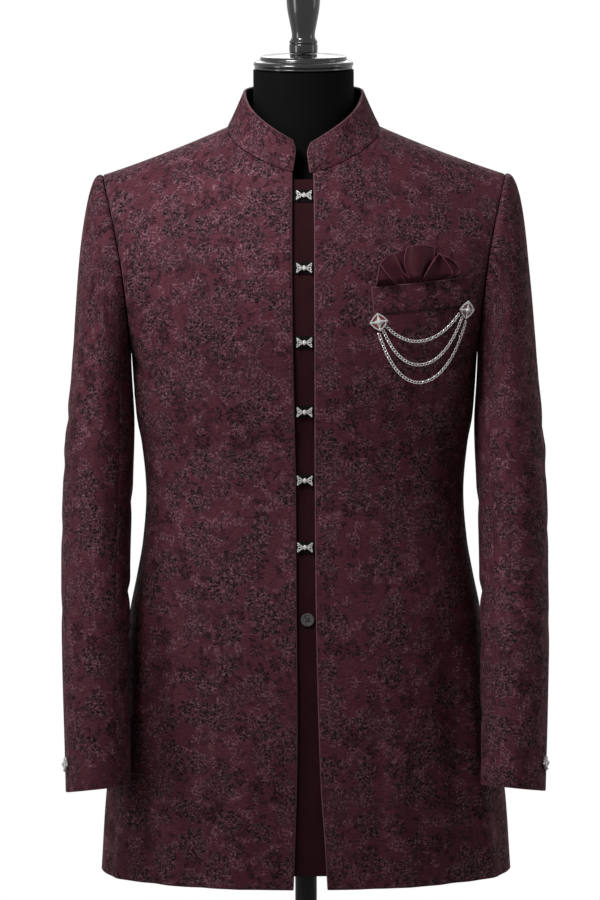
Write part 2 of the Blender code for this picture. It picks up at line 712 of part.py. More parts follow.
def chain_route(number):
    """Points of one swag: a catenary seen from the front, lying just off the cloth."""
    sag, hook_in, hook_down = (CHAINS.at(name, number) for name in ("sag", "hook_in", "hook_down"))
    start, end = (Vector((x, z - hook_down)) for x, z in BROOCHES)
    start.x += hook_in
    end.x -= hook_in
    on_front = smooth_front(1)
    steep = catenary_steepness(sag / ((end.x - start.x) / 2))
    route = []
    for i in range(CHAIN_STEPS + 1):
        s = 2 * i / CHAIN_STEPS - 1
        s = math.asinh(s * math.sinh(steep)) / steep          # even spacing along the curve
        hang = sag * (math.cosh(steep) - math.cosh(steep * s)) / (math.cosh(steep) - 1)
        spot = start.lerp(end, (s + 1) / 2)
        place = (spot.x, spot.y - hang)
        route.append(on_front(*place) + normal_of(on_front, *place, facing) * CHAIN_LIFT)
    return route


def make_jewellery(metal):
    on_front = smooth_front(1)
    for number, (x, z) in enumerate(BROOCHES, 1):
        normal = normal_of(on_front, x, z, facing)
        point = on_front(x, z) + normal * (WELT_WALL + BROOCH_CLEARANCE + BROOCH_THICKNESS / 2)
        outline = star_outline(BROOCH_SIZE, BROOCH_WAIST)
        brooch = flat_outline(f"brooch_{number}", outline, BROOCH_THICKNESS, metal)
        set_on(brooch, point, normal)
    for number in CHAINS.keys:
        curve = bpy.data.curves.new(f"chain_{number}", "CURVE")
        curve.dimensions = "3D"
        curve.bevel_depth = CHAIN_DIAMETER / 2
        curve.bevel_resolution = 1
        curve.use_fill_caps = True
        route = chain_route(number)
        spline = curve.splines.new("POLY")
        spline.points.add(len(route) - 1)
        for knot, point in zip(spline.points, route):
            knot.co = (*point, 1)
        add_object(f"chain_{number}", curve, metal)
    for side, hand in ((-1, "right"), (1, "left")):
        def surface(u, v, side=side):
            return sleeve_point(side, u, v)

        angle = math.radians(STUD_DEG)
        point = surface(angle, STUD_ALONG)
        normal = normal_of(surface, angle, STUD_ALONG, lambda p, side=side: Vector((side, -0.5, 0)))
        outline = star_outline(STUD_HEIGHT, STUD_WAIST)
        stud = flat_outline(f"cuff_stud_{hand}", outline, STUD_THICKNESS, metal)
        set_on(stud, point + normal * (STUD_THICKNESS / 2 + STUD_CLEARANCE), normal)


# ---------------------------------------------------------------- the dress form and its stand
def make_form(jersey, gloss):
    levels = FORM.keys
    sides = 36
    names = ("half_width", "front", "back")
    low = [FORM.at(name, levels[0]) for name in names]
    rings = [(FORM_BOTTOM_Z + rise, *(size - inset for size in low), FORM.at("fullness", levels[0]))
             for rise, inset in FORM_FOOT]
    for level in levels + [CAP_Z - SEAM_GAP]:
        rings.append((level, *(FORM.at(name, level) for name in (*names, "fullness"))))
    form = bmesh.new()
    loops = []
    for level, half_width, front, back, fullness in rings:
        loop = []
        for i in range(sides):
            angle = 2 * math.pi * i / sides
            c, s = math.cos(angle), math.sin(angle)
            x = half_width * math.copysign(abs(c) ** (2 / fullness), c)
            y = (back if s > 0 else front) * math.copysign(abs(s) ** (2 / fullness), s)
            loop.append(form.verts.new((x, y, level)))
        loops.append(loop)
    for low, high in zip(loops, loops[1:]):
        for i in range(sides):
            j = (i + 1) % sides
            form.faces.new((low[i], low[j], high[j], high[i]))
    form.faces.new(list(reversed(loops[0])))
    form.faces.new(loops[-1])
    mesh = bpy.data.meshes.new("form_body")
    form.to_mesh(mesh)
    form.free()
    add_object("form_body", mesh, jersey, sharp_degrees=50)

    cap = ((0, 0.0180), (0.017, 0.0175), (0.034, 0.0150), (0.048, 0.0115), (0.0535, 0.0100),
           (0.0555, 0.0080), (0.0558, 0.0055), (0.0548, 0.0028), (0.0520, 0.0008), (0.0480, 0), (0, 0))
    turned("form_cap", cap, gloss, steps=40, location=(0, 0, CAP_Z))
    finial = ((0, 0.0900), (0.0060, 0.0893), (0.0120, 0.0860), (0.0165, 0.0795), (0.0186, 0.0700),
              (0.0188, 0.0600), (0.0178, 0.0480), (0.0152, 0.0340), (0.0132, 0.0235), (0.0130, 0.0180),
              (0.0146, 0.0130), (0.0156, 0.0110), (0.0158, 0.0060), (0.0158, 0), (0, 0))
    turned("form_finial", finial, gloss, steps=32, location=(0, 0, CAP_Z + 0.0180 + SEAM_GAP))


def make_stand(gloss):
    base = ((0, BASE_TOP_Z), (0.030, BASE_TOP_Z), (0.110, 0.0150), (0.185, 0.0110), (0.1965, 0.0085),
            (BASE_RADIUS, 0.0050), (BASE_RADIUS, 0.0012), (0.1988, 0), (0, 0))
    turned("form_base", base, gloss, steps=48)
    hub_inner = POLE_RADIUS + SEAM_GAP
    low = BASE_TOP_Z + SEAM_GAP
    hub = ((hub_inner, 0.075), (0.0165, 0.075), (0.0175, 0.073), (0.0180, 0.045), (0.0260, 0.030),
           (0.0285, 0.024), (0.0285, low), (hub_inner, low), (hub_inner, 0.075))
    turned("form_hub", hub, gloss, steps=28)
    top = FORM_BOTTOM_Z - SEAM_GAP
    bevel = 0.0008
    pole = ((0, top), (POLE_RADIUS - bevel, top), (POLE_RADIUS, top - bevel), (POLE_RADIUS, low + bevel),
            (POLE_RADIUS - bevel, low), (0, low))
    turned("form_pole", pole, gloss, steps=24)


def make_all():
    jacquard = material("maroon jacquard", (0.085, 0.018, 0.028), 0.55)
    plain = material("plain maroon cloth", (0.060, 0.010, 0.018), 0.70)
    satin = material("maroon satin", (0.070, 0.008, 0.018), 0.38)
    band = material("black ribbon", (0.010, 0.009, 0.010), 0.70)
    silver = material("silver and crystal", (0.78, 0.78, 0.80), 0.18, 1.0)
    horn = material("grey button", (0.16, 0.16, 0.17), 0.35)
    jersey = material("black jersey", (0.010, 0.010, 0.011), 0.80)
    gloss = material("black gloss", (0.006, 0.006, 0.007), 0.12)
    make_body(jacquard)
    make_sleeves(jacquard)
    make_collar(jacquard)
    make_opening(plain, band, silver, horn)
    make_pocket(jacquard, satin)
    make_jewellery(silver)
    make_form(jersey, gloss)
    make_stand(gloss)


for old in list(bpy.data.objects):
    bpy.data.objects.remove(old, do_unlink=True)
COAT = bpy.data.collections.new("sherwani_coat_on_dress_form")
CUTTERS = bpy.data.collections.new("cutters")
bpy.context.scene.collection.children.link(COAT)
bpy.context.scene.collection.children.link(CUTTERS)
make_all()
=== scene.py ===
"""Looks of the sherwani coat on its dress form: cloth shells, trimmings, materials, light and camera."""
import math
import random
from bisect import bisect_left

import bmesh
import bpy
import numpy as np
from mathutils import Matrix, Quaternion, Vector


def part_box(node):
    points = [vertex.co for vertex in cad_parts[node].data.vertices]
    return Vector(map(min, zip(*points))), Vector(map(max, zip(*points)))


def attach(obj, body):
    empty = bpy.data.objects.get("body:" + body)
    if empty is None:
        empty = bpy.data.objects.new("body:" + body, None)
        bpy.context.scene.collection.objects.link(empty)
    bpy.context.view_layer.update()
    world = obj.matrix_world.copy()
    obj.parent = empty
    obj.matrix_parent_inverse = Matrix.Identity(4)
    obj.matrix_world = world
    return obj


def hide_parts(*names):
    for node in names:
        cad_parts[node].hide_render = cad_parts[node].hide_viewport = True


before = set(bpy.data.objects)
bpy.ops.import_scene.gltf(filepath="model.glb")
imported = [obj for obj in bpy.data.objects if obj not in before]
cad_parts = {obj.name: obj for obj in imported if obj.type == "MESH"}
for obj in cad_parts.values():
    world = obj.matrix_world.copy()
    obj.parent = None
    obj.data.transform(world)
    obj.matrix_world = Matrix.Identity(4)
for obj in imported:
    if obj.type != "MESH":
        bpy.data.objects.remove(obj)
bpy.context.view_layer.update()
random.seed(11)

# ---------------------------------------------------------------- sizes, as in the CAD
SEAM_GAP = 0.0003           # between pieces that are sewn together or rest on each other
CLOTH_WALL = 0.0025         # jacquard with its interlining
COLLAR_WALL = 0.0030        # two layers and a stiff interlining
PANEL_WALL = 0.0015         # the plain inner panel
TAB_WALL = 0.0010           # the black bands
WELT_WALL = 0.0018
MM = 0.001
STEP = 0.0001               # step of the surface parameters, for normals

HEM_Z = 0.597
UNDERARM_Z = 1.180
SHOULDER_TIP_Z = 1.379
SHOULDER_TIP_X = 0.2240
SHOULDER_Y = 0.005          # the shoulder seam, just behind the middle
ARMHOLE_HALF_DEPTH = 0.062

NECK_HALF_WIDTH = 0.085     # the neck seam's oval, seen from above
BACK_NECK_RISE = 0.066      # how far the back climbs behind the neck, above the shoulder line
FRONT_NECK_RISE = 0.012
SHOULDER_DIP = 0.0020       # hollow of the shoulder seam between the neck and the tip
COLLAR_GAP = 0.0006         # under the collar, whose facets differ from the panels'
COLLAR_TOP_HALF_WIDTH = 0.067
COLLAR_TOP_FRONT = 0.078
COLLAR_TOP_BACK = 0.062

SLEEVE_HEAD_Z = 1.150       # first full ring of the sleeve
CUFF_Z = 0.707
HEAD_DROP = 2.6             # how squarely the sleeve head stands out before it falls
HEAD_ROPE = 0.004           # rise of the roped sleeve head
CUFF_PITCH = 0.16           # the cuff's front edge is cut higher than its back
CUFF_ROLL = 0.10            # and its outer edge lower than its inner
FRONT_SEAM_DEG = 128.0      # sleeve seams, round from the outer side by way of the front
BACK_SEAM_DEG = 244.0

TAB_HALF_WIDTH = 0.0185
TAB_HEIGHT = 0.0125
BROOCH_SIZE = 0.021         # from point to point
STUD_SIZE = 0.017

CAP_Z = 1.4965              # underside of the turned cap
POLE_RADIUS = 0.0122
FORM_BOTTOM_Z = 0.790
BASE_TOP_Z = 0.018


class Table:
    """Rows of sizes with named columns, read smoothly between the rows by their first column."""

    def __init__(self, columns, rows):
        names = columns.split()
        self.data = {name: [row[i] for row in rows] for i, name in enumerate(names)}
        self.keys = self.data[names[0]]

    def at(self, name, key):
        keys, values = self.keys, self.data[name]
        key = min(max(key, keys[0]), keys[-1])
        i = min(max(bisect_left(keys, key) - 1, 0), len(keys) - 2)
        span = keys[i + 1] - keys[i]
        t = (key - keys[i]) / span

        def slope(j):
            low, high = max(j - 1, 0), min(j + 1, len(keys) - 1)
            return (values[high] - values[low]) / (keys[high] - keys[low])

        return float(values[i] * (1 + 2 * t) * (1 - t) ** 2 + values[i + 1] * (3 - 2 * t) * t * t
                     + span * (slope(i) * t * (1 - t) ** 2 - slope(i + 1) * t * t * (1 - t)))


# Sections of the coat's body. Above the underarm the half width is that of the armhole seam.
BODY = Table("level half_width front back fullness", (
    (0.597, 0.2305, 0.145, 0.135, 2.15),
    (0.690, 0.2238, 0.142, 0.135, 2.15),
    (0.800, 0.2085, 0.135, 0.131, 2.15),
    (0.890, 0.1966, 0.126, 0.123, 2.20),
    (0.931, 0.1884, 0.121, 0.116, 2.20),
    (0.970, 0.1816, 0.116, 0.109, 2.20),
    (1.025, 0.1777, 0.112, 0.103, 2.20),
    (1.078, 0.1822, 0.114, 0.106, 2.20),
    (1.110, 0.1880, 0.118, 0.111, 2.25),
    (1.180, 0.1932, 0.126, 0.120, 2.30),
    (1.239, 0.1980, 0.129, 0.126, 2.35),
    (1.295, 0.2053, 0.129, 0.126, 2.35),
    (1.350, 0.2164, 0.126, 0.120, 2.35),
    (1.379, 0.2240, 0.122, 0.112, 2.35)))

# Distance of each front's free edge from the middle; the gap between them widens at the hem.
FRONT_EDGE = Table("level right left", (
    (0.597, 0.0147, 0.0247),
    (0.654, 0.0127, 0.0216),
    (0.708, 0.0108, 0.0178),
    (0.770, 0.0098, 0.0157),
    (0.835, 0.0100, 0.0140),
    (0.918, 0.0105, 0.0127),
    (1.051, 0.0110, 0.0121),
    (1.230, 0.0140, 0.0121),
    (1.319, 0.0138, 0.0116),
    (1.379, 0.0125, 0.0075)))

# The neck seam and the collar's top edge, by the angle round from the front.
NECK = Table("degrees seam_z collar_z", (
    (0.0, 1.3860, 1.4160),
    (20.0, 1.3940, 1.4290),
    (45.0, 1.4075, 1.4445),
    (70.0, 1.4215, 1.4600),
    (90.0, 1.4325, 1.4712),
    (125.0, 1.4400, 1.4745),
    (180.0, 1.4440, 1.4790)))

# Rings of the right or left sleeve, below its head.
SLEEVE = Table("level centre_x centre_y half_width half_depth", (
    (0.707, 0.2302, -0.1170, 0.0364, 0.0510),
    (0.800, 0.2323, -0.0900, 0.0370, 0.0560),
    (0.900, 0.2333, -0.0560, 0.0385, 0.0620),
    (0.970, 0.2329, -0.0330, 0.0389, 0.0655),
    (1.050, 0.2305, -0.0140, 0.0392, 0.0690),
    (1.104, 0.2282, -0.0060, 0.0382, 0.0715),
    (1.150, 0.2268, -0.0020, 0.0346, 0.0720)))

# Sections of the dress form's torso, shoulders and neck.
FORM = Table("level half_width front back fullness", (
    (0.798, 0.1860, 0.114, 0.111, 2.2),
    (0.840, 0.1890, 0.116, 0.113, 2.2),
    (0.890, 0.1830, 0.112, 0.110, 2.2),
    (0.970, 0.1690, 0.102, 0.097, 2.2),
    (1.025, 0.1650, 0.098, 0.091, 2.2),
    (1.104, 0.1740, 0.103, 0.098, 2.2),
    (1.180, 0.1800, 0.112, 0.107, 2.2),
    (1.240, 0.1820, 0.112, 0.110, 2.2),
    (1.290, 0.1850, 0.104, 0.106, 2.1),
    (1.330, 0.1820, 0.088, 0.095, 2.0),
    (1.360, 0.1660, 0.074, 0.081, 2.0),
    (1.385, 0.1380, 0.062, 0.068, 2.0),
    (1.405, 0.1020, 0.058, 0.061, 2.0),
    (1.420, 0.0720, 0.056, 0.057, 2.0),
    (1.437, 0.0580, 0.056, 0.056, 2.0),
    (1.465, 0.0560, 0.056, 0.056, 2.0)))

# Height of each bow clasp down the opening.
CLASP_LEVELS = (1.3650, 1.2865, 1.2045, 1.1265, 1.0495, 0.9755)
BUTTON_X = 0.0027
BUTTON_LEVEL = 0.8960


# ---------------------------------------------------------------- the coat's surfaces
def ridge_z(x, face):
    """Height of the shoulder seam, carried on smoothly over the neck opening to the middle."""
    neck_z = NECK.at("seam_z", 90)
    length = SHOULDER_TIP_X - NECK_HALF_WIDTH
    slope = (SHOULDER_TIP_Z - neck_z) / length
    if x >= NECK_HALF_WIDTH:
        t = (x - NECK_HALF_WIDTH) / length
        return neck_z + slope * length * t - 4 * SHOULDER_DIP * t * (1 - t)
    slope -= 4 * SHOULDER_DIP / length
    inside = 1 - (x / NECK_HALF_WIDTH) ** 2
    extra = BACK_NECK_RISE if face > 0 else FRONT_NECK_RISE
    return neck_z - slope * NECK_HALF_WIDTH * inside / 2 + extra * inside ** 2


def free_edge(side, face, level):
    """Distance from the middle plane to a body panel's first edge."""
    if face > 0:
        return SEAM_GAP / 2
    return FRONT_EDGE.at("left" if side > 0 else "right", level)


def armhole(rise):
    """Half the armhole's width, and its middle, at a rise of 0 (underarm) to 1 (shoulder tip)."""
    return ARMHOLE_HALF_DEPTH * 2 * math.sqrt(max(rise * (1 - rise), 0.0)), SHOULDER_Y * rise


def top_x(side, face, across):
    """Where a column of a body panel would meet the shoulder seam."""
    edge = free_edge(side, face, SHOULDER_TIP_Z)
    return edge + (SHOULDER_TIP_X - edge) * across


def body_point(side, face, across, level):
    """A point of the body's outer surface, with no neck opening in it.

    side is -1 or +1 (X), face is -1 (front) or +1 (back), across runs from the free edge (0) to the
    side seam and armhole (1), and level is the height of the section at the side.
    """
    depth = BODY.at("front" if face < 0 else "back", level)
    full = BODY.at("fullness", level)
    last = BODY.at("half_width", level)
    rise = (level - UNDERARM_Z) / (SHOULDER_TIP_Z - UNDERARM_Z)
    edge = free_edge(side, face, level)
    x = edge + (last - edge) * across
    seam = face * SEAM_GAP / 2
    if rise <= 0:
        y = face * depth * max(1 - (x / last) ** full, 0.0) ** (1 / full)
        return Vector((side * x, y + seam, level))
    z = UNDERARM_Z + (ridge_z(top_x(side, face, across), face) - UNDERARM_Z) * rise
    # The section is cut off by the armhole, so that it ends at the armhole's own half width.
    turn = math.sqrt(max(1 - rise ** 2, 1e-9))
    half, middle = armhole(rise)
    cut = min(((half + face * (middle - SHOULDER_Y)) / turn + face * SHOULDER_Y) / depth, 0.999)
    reach = (1 - max(cut, 0.0) ** full) ** (1 / full)
    y_section = face * depth * max(1 - (x / last * reach) ** full, 0.0) ** (1 / full)
    y = SHOULDER_Y + (y_section - SHOULDER_Y) * turn
    return Vector((side * x, y + seam, z))


def find(side, face, x, z):
    """Surface parameters of the body's point with this distance x from the middle and height z."""
    across, level = 0.5, z
    for _ in range(14):
        if z > UNDERARM_Z:
            rise = (z - UNDERARM_Z) / (ridge_z(top_x(side, face, across), face) - UNDERARM_Z)
            level = UNDERARM_Z + min(rise, 1.0) * (SHOULDER_TIP_Z - UNDERARM_Z)
        edge = free_edge(side, face, level)
        across = (x - edge) / (BODY.at("half_width", level) - edge)
    return across, level


def neck_degrees(x, face):
    """Angle round the neck, from the front, of the neck seam's point at this x."""
    degrees = math.degrees(math.asin(min(x / NECK_HALF_WIDTH, 1.0)))
    return degrees if face < 0 else 180 - degrees


def neck_seam(degrees, side):
    """A point of the neck seam, on the body's surface."""
    face = -1 if degrees <= 90 else 1
    x = NECK_HALF_WIDTH * math.sin(math.radians(degrees))
    point = body_point(side, face, *find(side, face, x, NECK.at("seam_z", degrees)))
    return Vector((side * x, point.y, NECK.at("seam_z", degrees)))


def end_level(side, face, across):
    """The level at which a column ends: on the neck seam, or on the shoulder seam."""
    x_top = top_x(side, face, across)
    if x_top >= NECK_HALF_WIDTH:
        return SHOULDER_TIP_Z
    below, above = UNDERARM_Z, SHOULDER_TIP_Z
    for _ in range(24):
        level = (below + above) / 2
        point = body_point(side, face, across, level)
        if point.z < NECK.at("seam_z", neck_degrees(abs(point.x), face)):
            below = level
        else:
            above = level
    return (below + above) / 2


def sleeve_ring(angle, level):
    """A point of the left sleeve's ring; the angle runs from the outer side by way of the front."""
    fall = (SLEEVE_HEAD_Z - level) / (SLEEVE_HEAD_Z - CUFF_Z)
    dx = SLEEVE.at("half_width", level) * math.cos(angle)
    dy = -SLEEVE.at("half_depth", level) * math.sin(angle)
    dz = -fall ** 2 * (CUFF_PITCH * dy + CUFF_ROLL * dx)
    return Vector((SLEEVE.at("centre_x", level) + dx, SLEEVE.at("centre_y", level) + dy, level + dz))


def sleeve_point(side, angle, along):
    """A point of the sleeve's outer surface: along is 0 at the armhole, 1 below the head, 2 at the cuff."""
    if along > 1:
        point = sleeve_ring(angle, SLEEVE_HEAD_Z + (CUFF_Z - SLEEVE_HEAD_Z) * (along - 1))
    else:
        rise = (1 + math.cos(angle)) / 2
        level = UNDERARM_Z + (SHOULDER_TIP_Z - UNDERARM_Z) * rise
        start = Vector((BODY.at("half_width", level) + SEAM_GAP * 1.5,
                        SHOULDER_Y * rise - ARMHOLE_HALF_DEPTH * math.sin(angle), level))
        end = sleeve_ring(angle, SLEEVE_HEAD_Z)
        point = start.lerp(end, along)
        drop = 1 + (HEAD_DROP - 1) * rise
        point.z = start.z + (end.z - start.z) * along ** drop
        point.z += HEAD_ROPE * rise ** 2 * math.sin(math.pi * along) * (1 - along)
    return Vector((side * point.x, point.y, point.z))


def normal_of(surface, u, v, outward):
    """Unit normal of surface(u, v), on the side that the vector outward(point) points to."""
    point = surface(u, v)
    du = surface(u - STEP, v) if u > 2 * STEP else surface(u + STEP, v)
    dv = surface(u, v - STEP) if v > 2 * STEP else surface(u, v + STEP)
    normal = (du - point).cross(dv - point).normalized()
    return normal if normal.dot(outward(point)) > 0 else -normal


# ---------------------------------------------------------------- camera
CAMERA_TARGET = Vector((0.0, 0.0, 1.070))
CAMERA_DISTANCE = 8.0
CAMERA_ELEVATION = 7.0
CAMERA_LENS = 285.7
CAMERA_SHIFT = -0.0052          # sideways, as a share of the frame
CAMERA_ROLL_DEG = -0.18

camera_data = bpy.data.cameras.new("camera")
camera_data.lens = CAMERA_LENS
camera_data.sensor_width = 36.0
camera_data.shift_x = CAMERA_SHIFT
camera_data.clip_start = 0.1
camera_data.clip_end = 60.0
camera = bpy.data.objects.new("camera", camera_data)
bpy.context.scene.collection.objects.link(camera)
lift = math.radians(CAMERA_ELEVATION)
away = Vector((0.0, -math.cos(lift), math.sin(lift)))
camera.location = CAMERA_TARGET + away * CAMERA_DISTANCE
camera.rotation_mode = "QUATERNION"
roll = Quaternion((0, 0, 1), math.radians(CAMERA_ROLL_DEG))
camera.rotation_quaternion = (-away).to_track_quat("-Z", "Y") @ roll
bpy.context.scene.camera = camera


# ---------------------------------------------------------------- meshes
def put(name, mesh, finishes, node, sharp_degrees=45.0):
    """A finished piece that stands for a CAD node and rides on the one body."""
    thing = bpy.data.objects.new(name, mesh)
    bpy.context.scene.collection.objects.link(thing)
    for finish in finishes:
        mesh.materials.append(finish)
    mesh.shade_smooth()
    mesh.set_sharp_from_angle(angle=math.radians(sharp_degrees))
    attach(thing, "root")
    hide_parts(node)
    return thing


def mesh_of(name, points, faces, uvs=None, kinds=None):
    """A mesh with optional metres of flat cloth as its UVs and a material number for each face."""
    mesh = bpy.data.meshes.new(name)
    mesh.from_pydata([tuple(p) for p in points], [], faces)
    if uvs is not None:
        layer = mesh.uv_layers.new(name="flat")
        corner_points = np.empty(len(mesh.loops), dtype=np.int32)
        mesh.loops.foreach_get("vertex_index", corner_points)
        layer.data.foreach_set("uv", np.asarray(uvs, dtype=np.float32)[corner_points].ravel())
    if kinds is not None:
        mesh.polygons.foreach_set("material_index", np.asarray(kinds, dtype=np.int32))
    mesh.update()
    return mesh


def face_outward(mesh, weld=0.0):
    """The mesh with every face turned outward, after welding points nearer together than weld."""
    edit = bmesh.new()
    edit.from_mesh(mesh)
    if weld:
        bmesh.ops.remove_doubles(edit, verts=edit.verts, dist=weld)
    bmesh.ops.recalc_face_normals(edit, faces=edit.faces)
    edit.to_mesh(mesh)
    edit.free()
    return mesh


def circle(steps, radius=1.0, start=0.0):
    """Points round a circle, as x and y, from the start angle on."""
    angles = (start + 2 * math.pi * k / steps for k in range(steps))
    return [(radius * math.cos(a), radius * math.sin(a)) for a in angles]


def smooth_step(value):
    t = np.clip(value, 0.0, 1.0)
    return t * t * (3 - 2 * t)


def unit(vectors):
    return vectors / np.maximum(np.linalg.norm(vectors, axis=-1, keepdims=True), 1e-12)


def arcs(grid, axis):
    """Length along the rows or columns of a grid of points, from its first one."""
    steps = np.linalg.norm(np.diff(grid, axis=axis), axis=-1)
    start = np.zeros_like(np.take(steps, [0], axis=axis))
    return np.cumsum(np.concatenate([start, steps], axis=axis), axis=axis)


def grid_area(grid):
    """Area of a grid of points, cell by cell."""
    cells = np.cross(grid[1:, :-1] - grid[:-1, :-1], grid[:-1, 1:] - grid[:-1, :-1])
    return float(np.linalg.norm(cells, axis=-1).sum())


def border(rows, columns):
    """The rim of a grid in order: row, column and side of each of its points."""
    loop = [(0, j, "B") for j in range(columns)] + [(i, columns - 1, "R") for i in range(1, rows)]
    loop += [(rows - 1, j, "T") for j in range(columns - 2, -1, -1)]
    return loop + [(i, 0, "L") for i in range(rows - 2, 0, -1)]


RIPPLES = 7
RIPPLE_LENGTHS = (0.05, 0.16)           # shortest and longest


def ripple(across, along, seed):
    """Uneven soft undulation of pressed cloth, about -1 to 1, longer along the cloth than across."""
    total = np.zeros_like(across)
    local = random.Random(seed)
    for _ in range(RIPPLES):
        turn, wave = local.uniform(0, math.pi), local.uniform(*RIPPLE_LENGTHS)
        start = local.uniform(0, 6.28)
        total += np.sin((across * math.cos(turn) + along * 0.45 * math.sin(turn)) * 6.283 / wave + start)
    return total / 4


FOLD_BOW = 0.04                         # how far a fold curves aside, as a share of its length


def crease_depth(across, along, creases):
    """Sum of the listed folds: each a trough or ridge along a slightly bowed line on the flat cloth,
    widening and fading out towards its far end."""
    total = np.zeros_like(across)
    for u0, v0, u1, v1, width, depth in creases:
        line = np.array((u1 - u0, v1 - v0))
        length = max(float(np.hypot(*line)), 1e-6)
        t = ((across - u0) * line[0] + (along - v0) * line[1]) / length ** 2
        bow = math.copysign(FOLD_BOW, depth) * length * np.sin(math.pi * np.clip(t, 0, 1))
        off = ((across - u0) * line[1] - (along - v0) * line[0]) / length + bow
        q = off / (width * (0.75 + 0.5 * np.clip(t, 0, 1)))
        ends = smooth_step((1 - t) / 0.45) * (1.0 if v0 <= 0 else smooth_step(t / 0.35))
        total += depth * ends * (1 - 0.7 * q * q) * np.exp(-q * q)
    return total


def shell_normals(grid, outward, level):
    """Unit normals of a grid of points, on its outward side, and level if so asked."""
    normals = unit(np.cross(np.gradient(grid, axis=1), np.gradient(grid, axis=0)))
    middle = (len(grid) // 2, len(grid[0]) // 2)
    if np.dot(normals[middle], outward(Vector(grid[middle]))) < 0:
        normals = -normals
    if level:
        normals = unit(normals * np.array((1.0, 1.0, 0.0)))
        normals[:] = normals[middle[0]]        # the rows near the kinked seam follow the middle one
    normals[0], normals[-1] = normals[1], normals[-2]
    normals[:, 0], normals[:, -1] = normals[:, 1], normals[:, -2]
    return normals


def seam_distance(across, along, seams):
    """Distance of each point from the nearest of the sides named."""
    gaps = {"L": across, "R": across[:, -1:] - across, "B": along, "T": along[-1:, :] - along}
    edge = np.full_like(across, np.inf)
    for side in seams:
        edge = np.minimum(edge, gaps[side])
    return edge


def laid_flat(across, along, start, lay):
    """Place of each point on the flat cloth, squared as cloth() says."""
    flat = np.stack([across + start[0], along + start[1]], axis=-1)
    if lay == "tube":
        flat -= np.stack(np.broadcast_arrays(across[:, -1:] / 2, along[-1:, :]), axis=-1)
    if lay == "band":
        flat[..., 0] = across[len(across) // 2] + start[0]
    return flat


SEAM_HOLD = 0.020                       # how far from a seam the folds are free
SEAM_GROOVE, SEAM_GROOVE_WIDTH = 0.0006, 0.0012
EDGE_ROUNDING = 0.42                    # how far a turned edge bulges, as a share of the thickness
RIM_UV_SHIFT = (0.0007, 0.0007)


def cloth(name, surface, us, vs, thickness, outward, finishes, node, uv_start=(0, 0),
          creases=(), seams="", unevenness=0.0006, lift=0.0, level=False, seed=1, lay="edge", fold_line=""):
    """A thin shell with turned edges: its outer side is surface(u, v) at every u and v given.

    Its sides are called L and R (first and last column), B and T (first and last row). seams names
    those that are sewn down, where the cloth sinks into a groove and has no folds. A third finish, if
    given, is a lighter cloth that paints the highlight of the rounded turned edge: it covers every rim
    and the outermost cells of the sides that fold_line names. outward(point) is any vector out of
    the shell there, lift raises the whole shell, and level keeps its thickness horizontal. lay is
    how the flat cloth is squared: along the first edge, to the middle row (band), or to the middle
    of the last row (tube). The piece carries flat_width, flat_length and flat_area.
    """
    grid = np.array([[surface(u, v) for u in us] for v in vs], dtype=float)
    across, along = arcs(grid, 1), arcs(grid, 0)
    normals = shell_normals(grid, outward, level)
    edge = seam_distance(across, along, seams)
    shift = crease_depth(across, along, creases) + unevenness * ripple(across, along, seed)
    shift = shift * smooth_step(edge / SEAM_HOLD) + lift
    shift -= SEAM_GROOVE * np.exp(-(edge / SEAM_GROOVE_WIDTH) ** 2)
    outer = grid + normals * shift[..., None]
    inner = outer - normals * thickness
    rows, columns = len(vs), len(us)
    flat = laid_flat(across, along, uv_start, lay)
    points = [outer.reshape(-1, 3), inner.reshape(-1, 3)]
    uvs = [flat.reshape(-1, 2), flat.reshape(-1, 2)]
    count = rows * columns
    # Rims and the outermost cells of the fold_line sides take the third finish: a painted highlight of the
    # turned edge.
    edge_kind = 2 if len(finishes) > 2 else 0
    faces, kinds = [], []
    for i in range(rows - 1):
        for j in range(columns - 1):
            at = (("T", i == rows - 2), ("L", j == 0), ("R", j == columns - 2), ("B", i == 0))
            a, b = i * columns + j, (i + 1) * columns + j
            faces.append((a, a + 1, b + 1, b))
            kinds.append(edge_kind if any(here and side in fold_line for side, here in at) else 0)
            faces.append((count + a, count + b, count + b + 1, count + a + 1))
            kinds.append(1)
    loop = border(rows, columns)
    rim_points, rim_uvs = [], []
    for i, j, side in loop:
        back = (min(max(i, 1), rows - 2), min(max(j, 1), columns - 2))
        tangent = unit(outer[i, j] - outer[back])
        push = 0.0 if side in seams else EDGE_ROUNDING * thickness
        rim_points.append((outer[i, j] + inner[i, j]) / 2 + tangent * push)
        rim_uvs.append(flat[i, j] + RIM_UV_SHIFT)
    for k in range(len(loop)):
        (i, j, _), (m, n, _) = loop[k], loop[(k + 1) % len(loop)]
        a, b = i * columns + j, m * columns + n
        c, d = 2 * count + k, 2 * count + (k + 1) % len(loop)
        faces += [(b, a, c, d), (d, c, count + a, count + b)]
        kinds += [edge_kind, edge_kind]
    points.append(np.array(rim_points))
    uvs.append(np.array(rim_uvs))
    mesh = mesh_of(name, np.concatenate(points), faces, np.concatenate(uvs), kinds)
    if np.dot(np.cross(outer[0, 1] - outer[0, 0], outer[1, 1] - outer[0, 0]), normals[0, 0]) < 0:
        mesh.flip_normals()
    thing = put(name, mesh, finishes, node, 60.0)
    thing["flat_width"], thing["flat_length"] = float(across[:, -1].max()), float(along[-1].max())
    thing["flat_area"] = grid_area(grid)
    return thing


def declare(thing):
    """Works out the sheet's own cut: its widest row, its longest column, and its area laid flat. Nothing is
    done with them.
    """
    flat = (thing["flat_width"], thing["flat_length"])
    area = min(thing["flat_area"], flat[0] * flat[1])


def rings_joined(count, steps):
    """Faces between a number of rings of points, each ring of as many steps."""
    faces = []
    for start in range(0, (count - 1) * steps, steps):
        for i in range(steps):
            a, b = start + i, start + (i + 1) % steps
            faces.append((a, b, b + steps, a + steps))
    return faces


